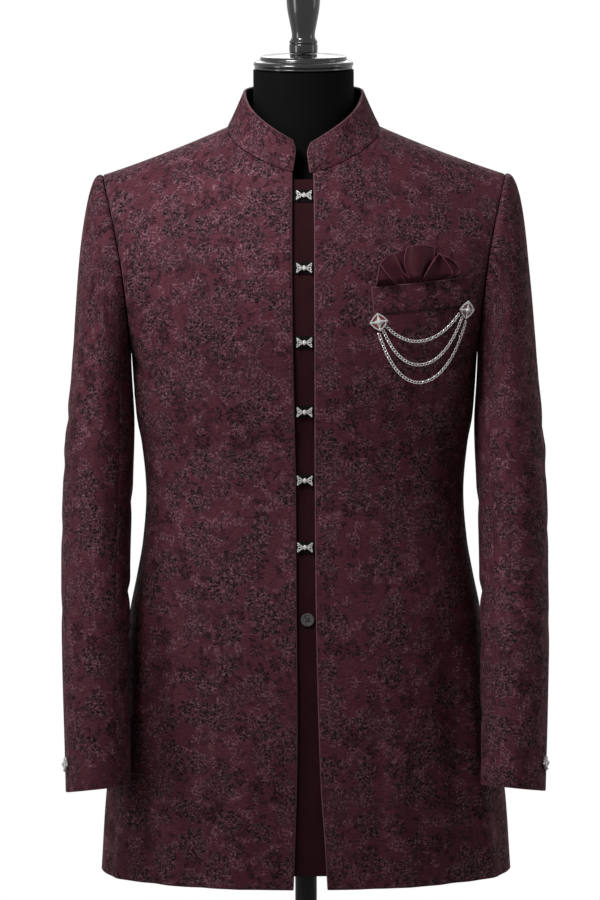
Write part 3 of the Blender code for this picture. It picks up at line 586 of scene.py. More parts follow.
def turned(name, profile, finish, node, base=0.0, steps=96):
    """A lathed piece on the upright axis: a closed outline of radius and height above its base."""
    points = [(x, y, height + base) for radius, height in profile for x, y in circle(steps, radius)]
    mesh = face_outward(mesh_of(name, points, rings_joined(len(profile), steps)), 0.00001)
    return put(name, mesh, [finish], node, 40.0)


def bend(a, b, c, d, t):
    """A smooth curve from b to c, at a share t of the way; a comes before them and d after."""
    return 0.5 * ((2 * b) + (c - a) * t + (2 * a - 5 * b + 4 * c - d) * t * t
                  + (3 * b - a - 3 * c + d) * t ** 3)


def rounded(profile, steps=5):
    """A turned outline with a smooth curve through its points."""
    out = []
    padded = [profile[0], *profile, profile[-1]]
    for four in zip(padded, padded[1:], padded[2:], padded[3:]):
        for k in range(steps):
            out.append(tuple(max(bend(*line, k / steps), 0.0) for line in zip(*four)))
    return out + [tuple(profile[-1])]


class Build:
    """Points and faces of one piece made of several small parts, with a material number each."""

    def __init__(self):
        self.points, self.faces, self.kinds = [], [], []

    def add(self, points, faces, kind=0, place=None):
        start = len(self.points)
        self.points += [place @ Vector(p) if place else Vector(p) for p in points]
        self.faces += [tuple(start + i for i in face) for face in faces]
        self.kinds += [kind] * len(faces)

    def tube(self, route, radius, sides=6, closed=False, kind=0, place=None):
        """A round wire along a route, as a ring if closed."""
        n = len(route)
        points, faces = [], []
        side_way = None
        for i, p in enumerate(route):
            before = route[(i - 1) % n] if closed or i > 0 else route[i]
            after = route[(i + 1) % n] if closed or i < n - 1 else route[i]
            way = (Vector(after) - Vector(before)).normalized()
            if side_way is None:
                side_way = way.orthogonal().normalized()
            side_way = (side_way - way * side_way.dot(way)).normalized()
            up = way.cross(side_way)
            points += [Vector(p) + side_way * x + up * y for x, y in circle(sides, radius)]
        for i in range(n if closed else n - 1):
            for k in range(sides):
                a, b = i * sides + k, i * sides + (k + 1) % sides
                c, d = ((i + 1) % n) * sides + k, ((i + 1) % n) * sides + (k + 1) % sides
                faces.append((a, b, d, c))
        if not closed:
            faces.append(tuple(reversed(range(sides))))
            faces.append(tuple(range((n - 1) * sides, n * sides)))
        self.add(points, faces, kind, place)

    def gem(self, centre, radius, height, sides=8, kind=1, place=None, turn=0.0):
        """A cut stone: table, crown, girdle and a short pavilion."""
        points, faces = [], []
        for share, rise, shift in ((0.55, 1.0, 0.5), (1.0, 0.35, 0.0), (0.55, -0.5, 0.5)):
            for x, y in circle(sides, radius * share, 2 * math.pi * shift / sides + turn):
                points.append((centre[0] + x, centre[1] + y, centre[2] + height * rise))
        faces.append(tuple(range(sides)))
        for k in range(sides):
            j = (k + 1) % sides
            faces += [(k, sides + k, sides + j), (k, sides + j, j)]
            faces += [(sides + k, 2 * sides + k, sides + j), (sides + j, 2 * sides + k, 2 * sides + j)]
        faces.append(tuple(reversed(range(2 * sides, 3 * sides))))
        self.add(points, faces, kind, place)

    def plate(self, outline, low, high, bevel, kind=0, place=None):
        """A flat plate with a bevelled front edge."""
        n = len(outline)
        middle = Vector((sum(p[0] for p in outline) / n, sum(p[1] for p in outline) / n))

        def ring(inset, height):
            out = []
            for p in outline:
                to = Vector(p) - middle
                q = Vector(p) - to.normalized() * inset
                out.append((q.x, q.y, height))
            return out

        points = ring(0, low) + ring(0, high - bevel) + ring(bevel, high)
        points += [(*middle, high), (*middle, low)]
        faces = rings_joined(3, n)
        faces += [(2 * n + k, 2 * n + (k + 1) % n, 3 * n) for k in range(n)]
        faces += [((k + 1) % n, k, 3 * n + 1) for k in range(n)]
        self.add(points, faces, kind, place)

    def mesh(self, name):
        return face_outward(mesh_of(name, self.points, self.faces, kinds=self.kinds))


def facing_out(point, normal, up=Vector((0, 0, 1))):
    """The place of a small piece: its z along the normal, its y upright."""
    z_axis = normal.normalized()
    x_axis = up.cross(z_axis).normalized()
    turn = Matrix((x_axis, z_axis.cross(x_axis), z_axis)).transposed().to_4x4()
    return Matrix.Translation(point) @ turn


def blend(start, end, steps):
    return [start + (end - start) * i / steps for i in range(steps + 1)]


def fine_ends(start, end, steps, edge):
    """Even spacing, with close rows at both ends for turned edges and seams."""
    near = [0.0, edge * 0.35, edge, edge * 2.2]
    inner = blend(start + edge * 3.6, end - edge * 3.6, steps)
    return [start + x for x in near] + inner + [end - x for x in reversed(near)]
# ---------------------------------------------------------------- materials
class Value:
    """A node's output, with arithmetic that adds Math nodes."""

    def __init__(self, finish, socket):
        self.finish, self.socket = finish, socket

    def __add__(self, other):
        return self.finish.math("ADD", self, other)

    def __radd__(self, other):
        return self.finish.math("ADD", other, self)

    def __sub__(self, other):
        return self.finish.math("SUBTRACT", self, other)

    def __rsub__(self, other):
        return self.finish.math("SUBTRACT", other, self)

    def __mul__(self, other):
        return self.finish.math("MULTIPLY", self, other)

    def __truediv__(self, other):
        return self.finish.math("DIVIDE", self, other)

    def __abs__(self):
        return self.finish.math("ABSOLUTE", self)


class Finish:
    """A material and short ways to wire its nodes."""

    SOCKETS = {"color": "Base Color", "rough": "Roughness", "metal": "Metallic", "normal": "Normal",
               "sheen": "Sheen Weight", "sheen_rough": "Sheen Roughness", "sheen_tint": "Sheen Tint",
               "coat": "Coat Weight", "coat_rough": "Coat Roughness", "specular": "Specular IOR Level"}

    def __init__(self, name):
        self.material = bpy.data.materials.new(name)
        self.material.use_nodes = True
        self.tree = self.material.node_tree
        self.shader = self.tree.nodes["Principled BSDF"]

    def wire(self, value, socket):
        if isinstance(value, Value):
            self.tree.links.new(value.socket, socket)
        else:
            socket.default_value = value

    def node(self, kind, inputs, **settings):
        """A new node with its inputs given by number or name."""
        made = self.tree.nodes.new("ShaderNode" + kind)
        for key, value in settings.items():
            setattr(made, key, value)
        for key, value in inputs.items():
            self.wire(value, made.inputs[key])
        return made

    def value(self, kind, inputs, output=0, **settings):
        """One output of a new node."""
        return Value(self, self.node(kind, inputs, **settings).outputs[output])

    def math(self, operation, *values):
        return self.value("Math", dict(enumerate(values)), operation=operation)

    def larger(self, one, other):
        return self.math("MAXIMUM", one, other)

    def vector(self, operation, *values):
        output = "Value" if operation == "LENGTH" else 0
        return self.value("VectorMath", dict(enumerate(values)), output, operation=operation)

    def scaled(self, vector, factor):
        return self.value("VectorMath", {0: vector, "Scale": factor}, operation="SCALE")

    def step(self, value, low, high, to_low=0.0, to_high=1.0):
        """Smooth step of a value from low to high."""
        return self.value("MapRange", dict(enumerate((value, low, high, to_low, to_high))),
                          interpolation_type="SMOOTHSTEP", clamp=True)

    def mix(self, factor, low, high):
        """Colour mix; low and high are colours or values."""
        low, high = ((*c, 1.0) if isinstance(c, tuple) else c for c in (low, high))
        return self.value("Mix", {0: factor, 6: low, 7: high}, 2, data_type="RGBA")

    def blend(self, factor, low, high):
        """Number mix."""
        return self.value("Mix", {0: factor, 2: low, 3: high}, data_type="FLOAT")

    def noise(self, vector, scale, detail=2.0, roughness=0.5, output="Fac"):
        return self.value("TexNoise", {"Vector": vector, "Scale": scale, "Detail": detail,
                                       "Roughness": roughness}, output)

    def cells(self, vector, randomness=1.0, dimensions="2D"):
        """For the cell a place is in: its distance from the middle, and the cell's colour and middle."""
        made = self.node("TexVoronoi", {"Vector": vector, "Scale": 1.0, "Randomness": randomness},
                         voronoi_dimensions=dimensions)
        return [Value(self, made.outputs[key]) for key in ("Distance", "Color", "Position")]

    def apart(self, vector):
        return [Value(self, part) for part in self.node("SeparateXYZ", {0: vector}).outputs]

    def coordinates(self):
        return self.value("TexCoord", {}, "Object")

    def flat_place(self, scale=1000.0):
        """The place on the flat cloth, in millimetres unless scaled otherwise."""
        return self.scaled(self.value("UVMap", {}, uv_map="flat"), scale)

    def bump(self, height, distance, strength):
        return self.value("Bump", {"Strength": strength, "Distance": distance, "Height": height})

    def set(self, **values):
        for key, value in values.items():
            self.wire(value, self.shader.inputs[self.SOCKETS[key]])
        return self.material


def motif_cells(f, place, size, randomness):
    """Cells of about this size: the way from each one's middle, and its three random numbers."""
    place = f.scaled(place, 1.0 / size)
    _, color, middle = f.cells(place, randomness)
    return f.scaled(f.vector("SUBTRACT", place, middle), size), f.apart(color)


def petals(f, radius, turn, count, middle, reach, width):
    """1 inside a ring of petals: count of them round, at the middle radius, reaching in and out."""
    off = abs(f.math("FRACT", turn * count + 40.0) - 0.5)
    along = (radius - middle) / reach
    room = f.math("SQRT", f.larger(1.0 - along * along, 0.0)) * width
    return f.step(room - off, 0.0, 0.07)


def flower(f, place, size, wanted, turned_by, ragged):
    """Blossoms in cells of this size, in millimetres: rings of petals round a heart, left out where a
    cell's chance is below wanted. Returns the petals, and the space round each heart."""
    here, chance = motif_cells(f, place, size, 0.72)
    x, y, _ = f.apart(here)
    turn = f.math("ARCTAN2", y, x) / (2 * math.pi) + (chance[1] + turned_by)
    radius = f.vector("LENGTH", here) / (0.80 + chance[2] * 0.42)
    count = 6.0 + f.math("FLOOR", chance[0] * 4.0)
    body = f.step(radius, size * 0.050, size * 0.028)
    for middle, reach, width, twist in ((0.325, 0.105, 0.36, 0.0), (0.190, 0.075, 0.38, 0.07)):
        ring = petals(f, radius, turn + twist, count, size * middle, size * reach, ragged * width)
        body = f.larger(body, ring)
    keep = f.step(chance[0], wanted - 0.01, wanted)
    return body * keep, f.step(radius, size * 0.47, size * 0.36) * keep


def leaves(f, place, size, wanted):
    """Ribbed leaves lying at all angles, left out where a cell's chance is below wanted."""
    here, chance = motif_cells(f, place, size, 0.9)
    spun = f.value("VectorRotate", {"Vector": here, "Angle": chance[0] * 6.283}, rotation_type="Z_AXIS")
    x, y, _ = f.apart(spun)
    along = x / (size * 0.42)
    room = f.larger(1.0 - along * along, 0.0) * (size * 0.17)
    off = abs(y - room * 0.3)
    ribs = f.math("SINE", (x + off) * 3.4)
    body = f.step(room - off, 0.0, 0.35) * f.step(ribs, -0.75, -0.25)
    return body * f.step(chance[1], wanted - 0.01, wanted)


def jacquard_finish(name):
    """Figured cloth: a satin ground, dark raised florals and sprays of granular pinkish threads."""
    f = Finish(name)
    place = f.flat_place()
    half = (0.5, 0.5, 0.5)
    wide = f.vector("SUBTRACT", f.noise(place, 0.07, 1.0, output="Color"), half)
    close = f.vector("SUBTRACT", f.noise(place, 0.24, 1.0, output="Color"), half)
    bent = f.vector("ADD", place, f.vector("ADD", f.scaled(wide, 9.0), f.scaled(close, 3.4)))
    bent = f.vector("MULTIPLY", bent, (1.0, 1.0, 0.0))

    def bent_at(x, y):
        return f.vector("ADD", bent, (x, y, 0.0))

    def stems(x, y, scale, detail, level):
        """Thin winding lines."""
        return f.step(abs(f.noise(bent_at(x, y), scale, detail) - level), 0.0085, 0.0030)

    # Motif: flowers of two sizes, with leaves and stems in the room between them.
    ragged = 0.72 + f.noise(place, 0.42, 2.0, 0.6) * 0.62
    big, near_big = flower(f, bent, 37.0, wanted=0.28, turned_by=0.0, ragged=ragged)
    small, near_small = flower(f, bent_at(13.0, 29.0), 22.0, wanted=0.55, turned_by=0.3, ragged=ragged)
    clear = 1.0 - near_big
    leaf = leaves(f, bent_at(7.0, 3.0), 15.0, wanted=0.40) * (clear * (1.0 - near_small * clear))
    stem = f.larger(stems(60.0, 10.0, 0.043, 0.5, 0.47), stems(260.0, 90.0, 0.060, 0.4, 0.53)) * clear
    motif = f.larger(f.larger(big, small * clear), f.larger(leaf, stem))

    # Sprays, where the granular threads gather: round the flowers and in drifts between them.
    drift = f.noise(bent_at(410.0, 330.0), 0.050, 2.0, 0.55)
    spray = f.larger(f.step(drift, 0.51, 0.56), near_big * 0.75)
    crumb = f.noise(f.vector("MULTIPLY", place, (1.0, 1.2, 1.0)), 0.34, 2.0, 0.62)
    strand = f.step(abs(f.noise(place, 0.22, 1.0, 0.6) - 0.5), 0.036, 0.012)
    light = f.larger(f.step(crumb, 0.54, 0.64), strand * 0.8) * (0.08 + spray * 0.92)
    light = f.larger(light, motif * (1.0 - motif) * 0.9)
    shade = f.step(crumb, 0.46, 0.38) * (0.12 + spray * 0.88)
    # Painted glints: sparse bright specks in the base colour, smoother than the cloth, mostly in the
    # sprays.
    distance, color, _ = f.cells(f.scaled(place, 1 / 5.6))
    glint = f.step(distance, 0.12, 0.06) * f.step(f.apart(color)[0], 0.84, 0.86) * (0.15 + spray * 0.85)

    # Ground: broken horizontal floats. Some of the dark motif has lighter threads.
    floats = f.noise(f.vector("MULTIPLY", place, (0.10, 0.95, 1.0)), 1.0, 2.0, 0.6)
    ground = f.mix(f.step(floats, 0.36, 0.64), (0.080, 0.0210, 0.0310), (0.134, 0.0365, 0.0530))
    broad = f.step(f.noise(place, 0.013, 2.0), 0.40, 0.70)
    ground = f.mix(broad * 0.6, ground, (0.072, 0.0190, 0.0285))
    dark = f.mix(f.step(crumb, 0.40, 0.60), (0.0098, 0.0062, 0.0078), (0.031, 0.0150, 0.0190))
    tint = f.noise(f.vector("ADD", place, (900.0, 120.0, 0.0)), 0.022, 1.0)
    dark = f.mix(f.step(tint, 0.50, 0.62) * 0.50, dark, (0.090, 0.0290, 0.0400))

    color = f.mix(shade * 0.52, ground, (0.024, 0.0095, 0.0135))
    color = f.mix(near_big * 0.30, color, (0.040, 0.0145, 0.0205))
    color = f.mix(motif * 0.90, color, dark)
    color = f.mix(light * f.blend(motif, 0.72, 0.50), color, (0.310, 0.1540, 0.1900))
    color = f.mix(glint * 0.75, color, (0.50, 0.37, 0.41))
    height = motif * 0.70 + crumb * 0.9 + floats * 0.25
    return f.set(color=color, rough=f.blend(glint, f.blend(motif, 0.60, 0.78), 0.30),
                 normal=f.bump(height, 0.00060, 0.9), metal=f.blend(motif, 0.06, 0.0),
                 specular=0.07, sheen=0.015, sheen_rough=0.5, sheen_tint=(0.80, 0.55, 0.62, 1.0))


def woven_finish(name, low, high, pitch, rough, sheen=0.1, depth=0.0002):
    """Plain weave of this pitch, in millimetres of flat cloth."""
    f = Finish(name)
    place = f.flat_place(1000.0 / pitch)
    x, y, _ = f.apart(place)
    weave = f.math("SINE", x * 6.283) * f.math("SINE", y * 6.283)
    streak = f.noise(f.vector("MULTIPLY", place, (0.6, 0.05, 1.0)), 1.0)
    tone = streak * 0.3 + f.noise(place, 0.02, 3.0) * 0.7 + weave * 0.10
    return f.set(color=f.mix(f.step(tone, 0.25, 0.75), low, high), rough=rough, sheen=sheen,
                 sheen_rough=0.5, specular=0.12, normal=f.bump(weave + streak, depth, 0.5))


def solid_finish(name, low, high, scale, rough_low, rough_high, bump=0.0, metal=0.0, coat=0.0,
                 stretch=(1.0, 1.0, 1.0), coat_rough=0.08):
    """A hard surface with mottled colour, roughness and a slight relief."""
    f = Finish(name)
    place = f.vector("MULTIPLY", f.coordinates(), stretch)
    fine = f.noise(place, scale * 9, 3.0, 0.5)
    tone = f.noise(place, scale, 4.0, 0.6) * 0.7 + fine * 0.3
    if bump:
        f.set(normal=f.bump(fine, bump, 0.6))
    return f.set(color=f.mix(f.step(tone, 0.3, 0.7), low, high), metal=metal, coat=coat,
                 coat_rough=coat_rough, specular=0.5, rough=f.step(tone, 0.25, 0.75, rough_low, rough_high))


def jersey_finish(name):
    """Black knitted cover of the dress form: fine upright wales."""
    f = Finish(name)
    x, y, z = f.apart(f.coordinates())
    wale = f.math("SINE", f.math("ARCTAN2", y, x) * 260.0)
    course = f.math("SINE", z * 5200.0 + wale * 1.2)
    knit = (wale + 1.0) * (course + 1.3)
    tone = knit * 0.12 + f.noise(f.coordinates(), 26.0, 3.0) * 0.6
    return f.set(color=f.mix(f.step(tone, 0.2, 0.8), (0.0030, 0.0030, 0.0034), (0.0054, 0.0053, 0.0060)),
                 rough=0.80, specular=0.07, normal=f.bump(knit, 0.00008, 0.5))


def satin_finish(name, low, high):
    """Soft satin: long fine streaks along the thread."""
    f = Finish(name)
    place = f.flat_place()
    streak = f.noise(f.vector("MULTIPLY", place, (0.10, 1.9, 1.0)), 1.0)
    tone = streak * 0.4 + f.noise(place, 0.05) * 0.6
    return f.set(color=f.mix(f.step(tone, 0.3, 0.7), low, high), rough=0.46, specular=0.12,
                 normal=f.bump(streak, 0.00015, 0.4))


def gem_finish(name, low, high, rough=0.06):
    """Foil-backed cut glass, seen opaque: bright facets that differ a little from each other."""
    f = Finish(name)
    _, color, _ = f.cells(f.scaled(f.coordinates(), 1400.0), 1.0, "3D")
    pick = f.apart(color)
    return f.set(color=f.mix(f.step(pick[0], 0.15, 0.85), low, high),
                 rough=f.step(pick[1], 0, 1, rough, rough * 3), metal=0.25, coat=1.0, coat_rough=0.03)


JACQUARD = jacquard_finish("jacquard_figured")
# Lighter cloth on rims and turned edges: a painted highlight where the rounded edge catches the light.
PAINTED_EDGE_HIGHLIGHT = woven_finish("painted_edge_highlight", (0.110, 0.045, 0.058), (0.190, 0.085, 0.106), 1.1, 0.6, 0.05)
LINING = woven_finish("lining_dark_satin", (0.010, 0.004, 0.006), (0.018, 0.006, 0.010), 0.9, 0.38, 0.05)
# Plain maroon cloth of the inner panel, far darker than the coat's ground: partly its own darker maroon,
# partly painted shade of the recess behind the fronts.
MAROON_AND_PAINTED_SHADE = woven_finish("plain_maroon_cloth_and_painted_shade", (0.025, 0.0058, 0.0085), (0.040, 0.0088, 0.0130), 0.8, 0.85, 0.0)
RIBBON = woven_finish("black_grosgrain", (0.0018, 0.0016, 0.0018), (0.0040, 0.0034, 0.0038), 1.3, 0.70,
                      0.02, 0.0003)
SATIN = satin_finish("pocket_square_satin", (0.046, 0.0100, 0.0160), (0.078, 0.0172, 0.0270))
# Lighter satin on the rolled edges of the square's petals: a painted highlight.
SATIN_PAINTED_HIGHLIGHT = satin_finish("pocket_square_painted_edge_highlight", (0.120, 0.0350, 0.0490), (0.180, 0.0560, 0.0760))
SILVER = solid_finish("plated_silver", (0.72, 0.70, 0.69), (0.93, 0.92, 0.91), 900.0, 0.18, 0.34,
                      0.00002, 0.6)
BRIGHT_SILVER = solid_finish("polished_silver", (0.90, 0.89, 0.88), (0.99, 0.98, 0.97), 900.0, 0.22, 0.38,
                             0.00002, 0.55)
CRYSTAL = gem_finish("rhinestones", (0.70, 0.68, 0.68), (1.0, 0.98, 0.97))
ENAMEL = solid_finish("red_enamel", (0.16, 0.004, 0.010), (0.26, 0.010, 0.018), 500.0, 0.10, 0.22, coat=1.0)
HORN = solid_finish("grey_horn_button", (0.045, 0.042, 0.046), (0.120, 0.112, 0.118), 260.0, 0.28, 0.42,
                    0.00003, coat=0.4, stretch=(1.0, 1.0, 0.35))
THREAD = solid_finish("sewing_thread", (0.020, 0.006, 0.009), (0.040, 0.012, 0.018), 2500.0, 0.7, 0.8,
                      0.00004)
JERSEY = jersey_finish("form_black_jersey")
GLOSS = solid_finish("form_black_lacquer", (0.0040, 0.0040, 0.0044), (0.0075, 0.0073, 0.0078), 60.0,
                     0.20, 0.30, 0.00002, coat=0.8, coat_rough=0.12)
STEEL = solid_finish("stand_black_steel", (0.0060, 0.0060, 0.0065), (0.012, 0.012, 0.013), 45.0,
                     0.34, 0.48, 0.00003, metal=0.6, stretch=(1.0, 1.0, 0.2))




# ---------------------------------------------------------------- chains
def facing(_):
    return Vector((0, -1, 0))


def smooth_front(side):
    """The front's outer surface as a function of x and z seen from the front."""
    return lambda x, z: body_point(side, -1, *find(side, -1, x, z))


# Each brooch's centre on the front. Each chain's sag below the line between its hooks, and how far
# its hooks are from the brooches' centres, inward and down.
BROOCHES = ((0.0810, 1.2267), (0.1767, 1.2362))
CHAINS = Table("number sag hook_in hook_down", (
    (1, 0.0221, 0.0085, 0.0050),
    (2, 0.0444, 0.0050, 0.0092),
    (3, 0.0597, 0.0008, 0.0138)))
CHAIN_LIFT = 0.0040         # of the chains' middle lines off the cloth
LINK_PITCH = 0.0036
LINK_LONG, LINK_WIDE, LINK_WIRE = 0.00210, 0.00128, 0.00040     # half length, half width, wire radius
LINK_TURNS = (-14.0, 6.0)   # degrees about the chain's way, by turns
LINK_SLANT = math.radians(27)
LEFT_FRONT = smooth_front(1)


def catenary_steepness(sag_to_half_span):
    """The k of cosh(kx) that hangs that deep between ends at x = -1 and 1."""
    low, high = 0.01, 6.0
    for _ in range(40):
        middle = (low + high) / 2
        if (math.cosh(middle) - 1) / middle < sag_to_half_span:
            low = middle
        else:
            high = middle
    return low


def chain_route(number, steps=26):
    """Points of one swag: a catenary seen from the front, lying just off the cloth."""
    sag, hook_in, hook_down = (CHAINS.at(name, number) for name in ("sag", "hook_in", "hook_down"))
    start, end = (Vector((x, z - hook_down)) for x, z in BROOCHES)
    start.x += hook_in
    end.x -= hook_in
    steep = catenary_steepness(sag / ((end.x - start.x) / 2))
    route = []
    for i in range(steps + 1):
        s = math.asinh((2 * i / steps - 1) * math.sinh(steep)) / steep
        hang = sag * (math.cosh(steep) - math.cosh(steep * s)) / (math.cosh(steep) - 1)
        spot = start.lerp(end, (s + 1) / 2)
        place = (spot.x, spot.y - hang)
        route.append(LEFT_FRONT(*place) + normal_of(LEFT_FRONT, *place, facing) * CHAIN_LIFT)
    return route


def curb_link(turn):
    """One oval ring of wire lying aslant to x, the chain's way."""
    ring = []
    slant_x, slant_y = math.cos(LINK_SLANT), math.sin(LINK_SLANT)
    for x, y in circle(12):
        x, y = x * LINK_LONG, y * LINK_WIDE
        x, y = x * slant_x - y * slant_y, x * slant_y + y * slant_x
        ring.append((x, y * math.cos(turn), y * math.sin(turn)))
    return ring


def make_chain(number):
    """Links laid along the swag by turns, in place of the CAD cord that stands for it."""
    route = chain_route(number, 60)
    lengths = [0.0]
    for a, b in zip(route, route[1:]):
        lengths.append(lengths[-1] + (b - a).length)
    count = int(lengths[-1] / LINK_PITCH)
    build = Build()
    for n in range(count + 1):
        want = lengths[-1] * n / count
        i = min(max(bisect_left(lengths, want) - 1, 0), len(route) - 2)
        t = (want - lengths[i]) / (lengths[i + 1] - lengths[i])
        point = route[i].lerp(route[i + 1], t)
        way = (route[i + 1] - route[i]).normalized()
        out = normal_of(LEFT_FRONT, point.x, point.z, facing)
        out = (out - way * out.dot(way)).normalized()
        place = Matrix((way, out.cross(way), out)).transposed().to_4x4()
        place = Matrix.Translation(point) @ place
        build.tube(curb_link(math.radians(LINK_TURNS[n % 2])), LINK_WIRE, 6, True, 0, place)
    name = f"curb_chain_{number}"
    chain = put(name, build.mesh(name), [BRIGHT_SILVER], f"chain_{number}")


for chain_number in CHAINS.keys:
    make_chain(chain_number)


# ---------------------------------------------------------------- the coat
def away_from_body(p):
    """A vector out of the coat: sideways, and more and more upward over the shoulders."""
    return Vector((p.x, p.y, 0.12 + 4 * max(p.z - SHOULDER_TIP_Z, 0)))


def panel_levels():
    """Levels of a panel's rows, closer at the hem and towards the shoulder."""
    low = [HEM_Z, HEM_Z + 0.0008, HEM_Z + 0.0022] + blend(HEM_Z + 0.005, UNDERARM_Z, 112)
    span = SHOULDER_TIP_Z - UNDERARM_Z
    return low + [UNDERARM_Z + span * (1 - math.cos(math.pi * i / 52)) / 2 for i in range(1, 53)]


def panel_columns(side, face):
    """Columns of a panel, closer at its edges, with one that ends where neck and shoulder seam meet."""
    edge = free_edge(side, face, SHOULDER_TIP_Z)
    neck = (NECK_HALF_WIDTH - edge) / (SHOULDER_TIP_X - edge)
    even = [math.sin(math.pi / 2 * t) ** 0.92 for t in fine_ends(0.0, 1.0, 54, 0.0045)]
    return sorted([c for c in even if abs(c - neck) > 0.004] + [neck])


# Folds on each piece's flat cloth: from (u, v) to (u, v), width, and depth out (ridge) or in (trough).
# u runs from the centre edge round to the side, v up from the hem. Keyed by side and face.
PANEL_FOLDS = {(-1, -1): (
    (0.165, 0.0, 0.150, 0.34, 0.022, -0.0045), (0.105, 0.0, 0.112, 0.27, 0.020, -0.0028),
    (0.215, 0.0, 0.200, 0.30, 0.022, 0.0040), (0.060, 0.0, 0.070, 0.20, 0.018, 0.0018),
    (0.245, 0.590, 0.150, 0.540, 0.011, -0.0030), (0.235, 0.560, 0.165, 0.500, 0.010, 0.0020),
    (0.205, 0.450, 0.120, 0.425, 0.012, -0.0024), (0.200, 0.405, 0.140, 0.372, 0.011, -0.0020),
    (0.190, 0.700, 0.110, 0.655, 0.016, -0.0016), (0.060, 0.455, 0.130, 0.440, 0.012, 0.0012),
    (0.175, 0.480, 0.095, 0.500, 0.010, -0.0015)), (1, -1): (
    (0.150, 0.0, 0.142, 0.33, 0.022, -0.0042), (0.092, 0.0, 0.100, 0.24, 0.019, 0.0024),
    (0.205, 0.0, 0.196, 0.30, 0.023, 0.0040), (0.050, 0.0, 0.062, 0.22, 0.018, -0.0020),
    (0.240, 0.585, 0.165, 0.530, 0.011, -0.0030), (0.210, 0.448, 0.130, 0.420, 0.012, -0.0024),
    (0.200, 0.400, 0.150, 0.378, 0.011, 0.0018), (0.170, 0.475, 0.100, 0.492, 0.010, -0.0014),
    (0.225, 0.545, 0.180, 0.490, 0.010, 0.0018)), (-1, 1): (
    (0.070, 0.0, 0.080, 0.34, 0.024, -0.0045), (0.135, 0.0, 0.130, 0.30, 0.022, 0.0036),
    (0.195, 0.0, 0.185, 0.32, 0.022, -0.0040), (0.230, 0.580, 0.150, 0.560, 0.012, -0.0028),
    (0.200, 0.450, 0.090, 0.430, 0.013, -0.0026), (0.190, 0.405, 0.110, 0.385, 0.012, 0.0020),
    (0.120, 0.480, 0.060, 0.465, 0.012, -0.0015), (0.185, 0.720, 0.100, 0.690, 0.016, -0.0018)), (1, 1): (
    (0.082, 0.0, 0.088, 0.31, 0.024, -0.0042), (0.140, 0.0, 0.138, 0.33, 0.022, 0.0038),
    (0.205, 0.0, 0.190, 0.29, 0.022, -0.0040), (0.235, 0.575, 0.160, 0.545, 0.012, -0.0028),
    (0.195, 0.455, 0.100, 0.436, 0.013, -0.0024), (0.185, 0.400, 0.120, 0.376, 0.012, 0.0020),
    (0.110, 0.470, 0.055, 0.478, 0.012, -0.0014), (0.190, 0.715, 0.120, 0.680, 0.016, -0.0018))}
# u runs round the sleeve from the first seam, v down from the armhole. Keyed by side.
TOP_FOLDS = {-1: (
    (0.150, 0.255, 0.070, 0.300, 0.012, -0.0020), (0.165, 0.300, 0.085, 0.345, 0.012, -0.0017),
    (0.060, 0.285, 0.120, 0.330, 0.011, 0.0011), (0.170, 0.150, 0.100, 0.215, 0.014, -0.0014),
    (0.050, 0.100, 0.060, 0.230, 0.014, -0.0012), (0.140, 0.380, 0.080, 0.420, 0.013, -0.0011),
    (0.060, 0.470, 0.130, 0.520, 0.015, -0.0010), (0.100, 0.060, 0.110, 0.160, 0.016, 0.0010)), 1: (
    (0.060, 0.265, 0.140, 0.310, 0.012, -0.0020), (0.050, 0.315, 0.125, 0.350, 0.012, -0.0017),
    (0.150, 0.290, 0.095, 0.335, 0.011, 0.0011), (0.045, 0.160, 0.115, 0.225, 0.014, -0.0014),
    (0.155, 0.110, 0.150, 0.235, 0.014, -0.0012), (0.070, 0.390, 0.135, 0.425, 0.013, -0.0011),
    (0.150, 0.480, 0.080, 0.525, 0.015, -0.0010), (0.100, 0.060, 0.095, 0.160, 0.016, 0.0010))}
UNDER_FOLDS = (
    (0.020, 0.255, 0.085, 0.290, 0.011, -0.0030), (0.085, 0.305, 0.020, 0.335, 0.011, -0.0028),
    (0.030, 0.150, 0.080, 0.190, 0.012, -0.0020), (0.030, 0.400, 0.080, 0.430, 0.012, -0.0015))

CLOTH = [JACQUARD, LINING, PAINTED_EDGE_HIGHLIGHT]
HANDS = ((-1, "right"), (1, "left"))
made = {}


def panel_surface(side, face):
    """A body panel's outer surface; its upper rows are squeezed to end on the neck seam."""
    ends = {}

    def surface(across, level):
        if across not in ends:
            ends[across] = end_level(side, face, across)
        if level > UNDERARM_Z:
            squeeze = (ends[across] - UNDERARM_Z) / (SHOULDER_TIP_Z - UNDERARM_Z)
            level = UNDERARM_Z + (level - UNDERARM_Z) * squeeze
        return body_point(side, face, across, level)
    return surface


def sleeve_surface(side):
    return lambda angle, along: sleeve_point(side, angle, along)


for face, part in ((-1, "front"), (1, "back")):
    for side, hand in HANDS:
        made[part + hand] = cloth(
            f"{part}_{hand}_cloth", panel_surface(side, face), panel_columns(side, face), panel_levels(),
            CLOTH_WALL, away_from_body, CLOTH, f"{part}_{hand}",
            uv_start=(0.31 * (side + 2) + 0.9 * (face + 1), 0.17 * side),
            creases=PANEL_FOLDS[side, face], seams="RT" if face < 0 else "LRT", seed=side * 3 + face)

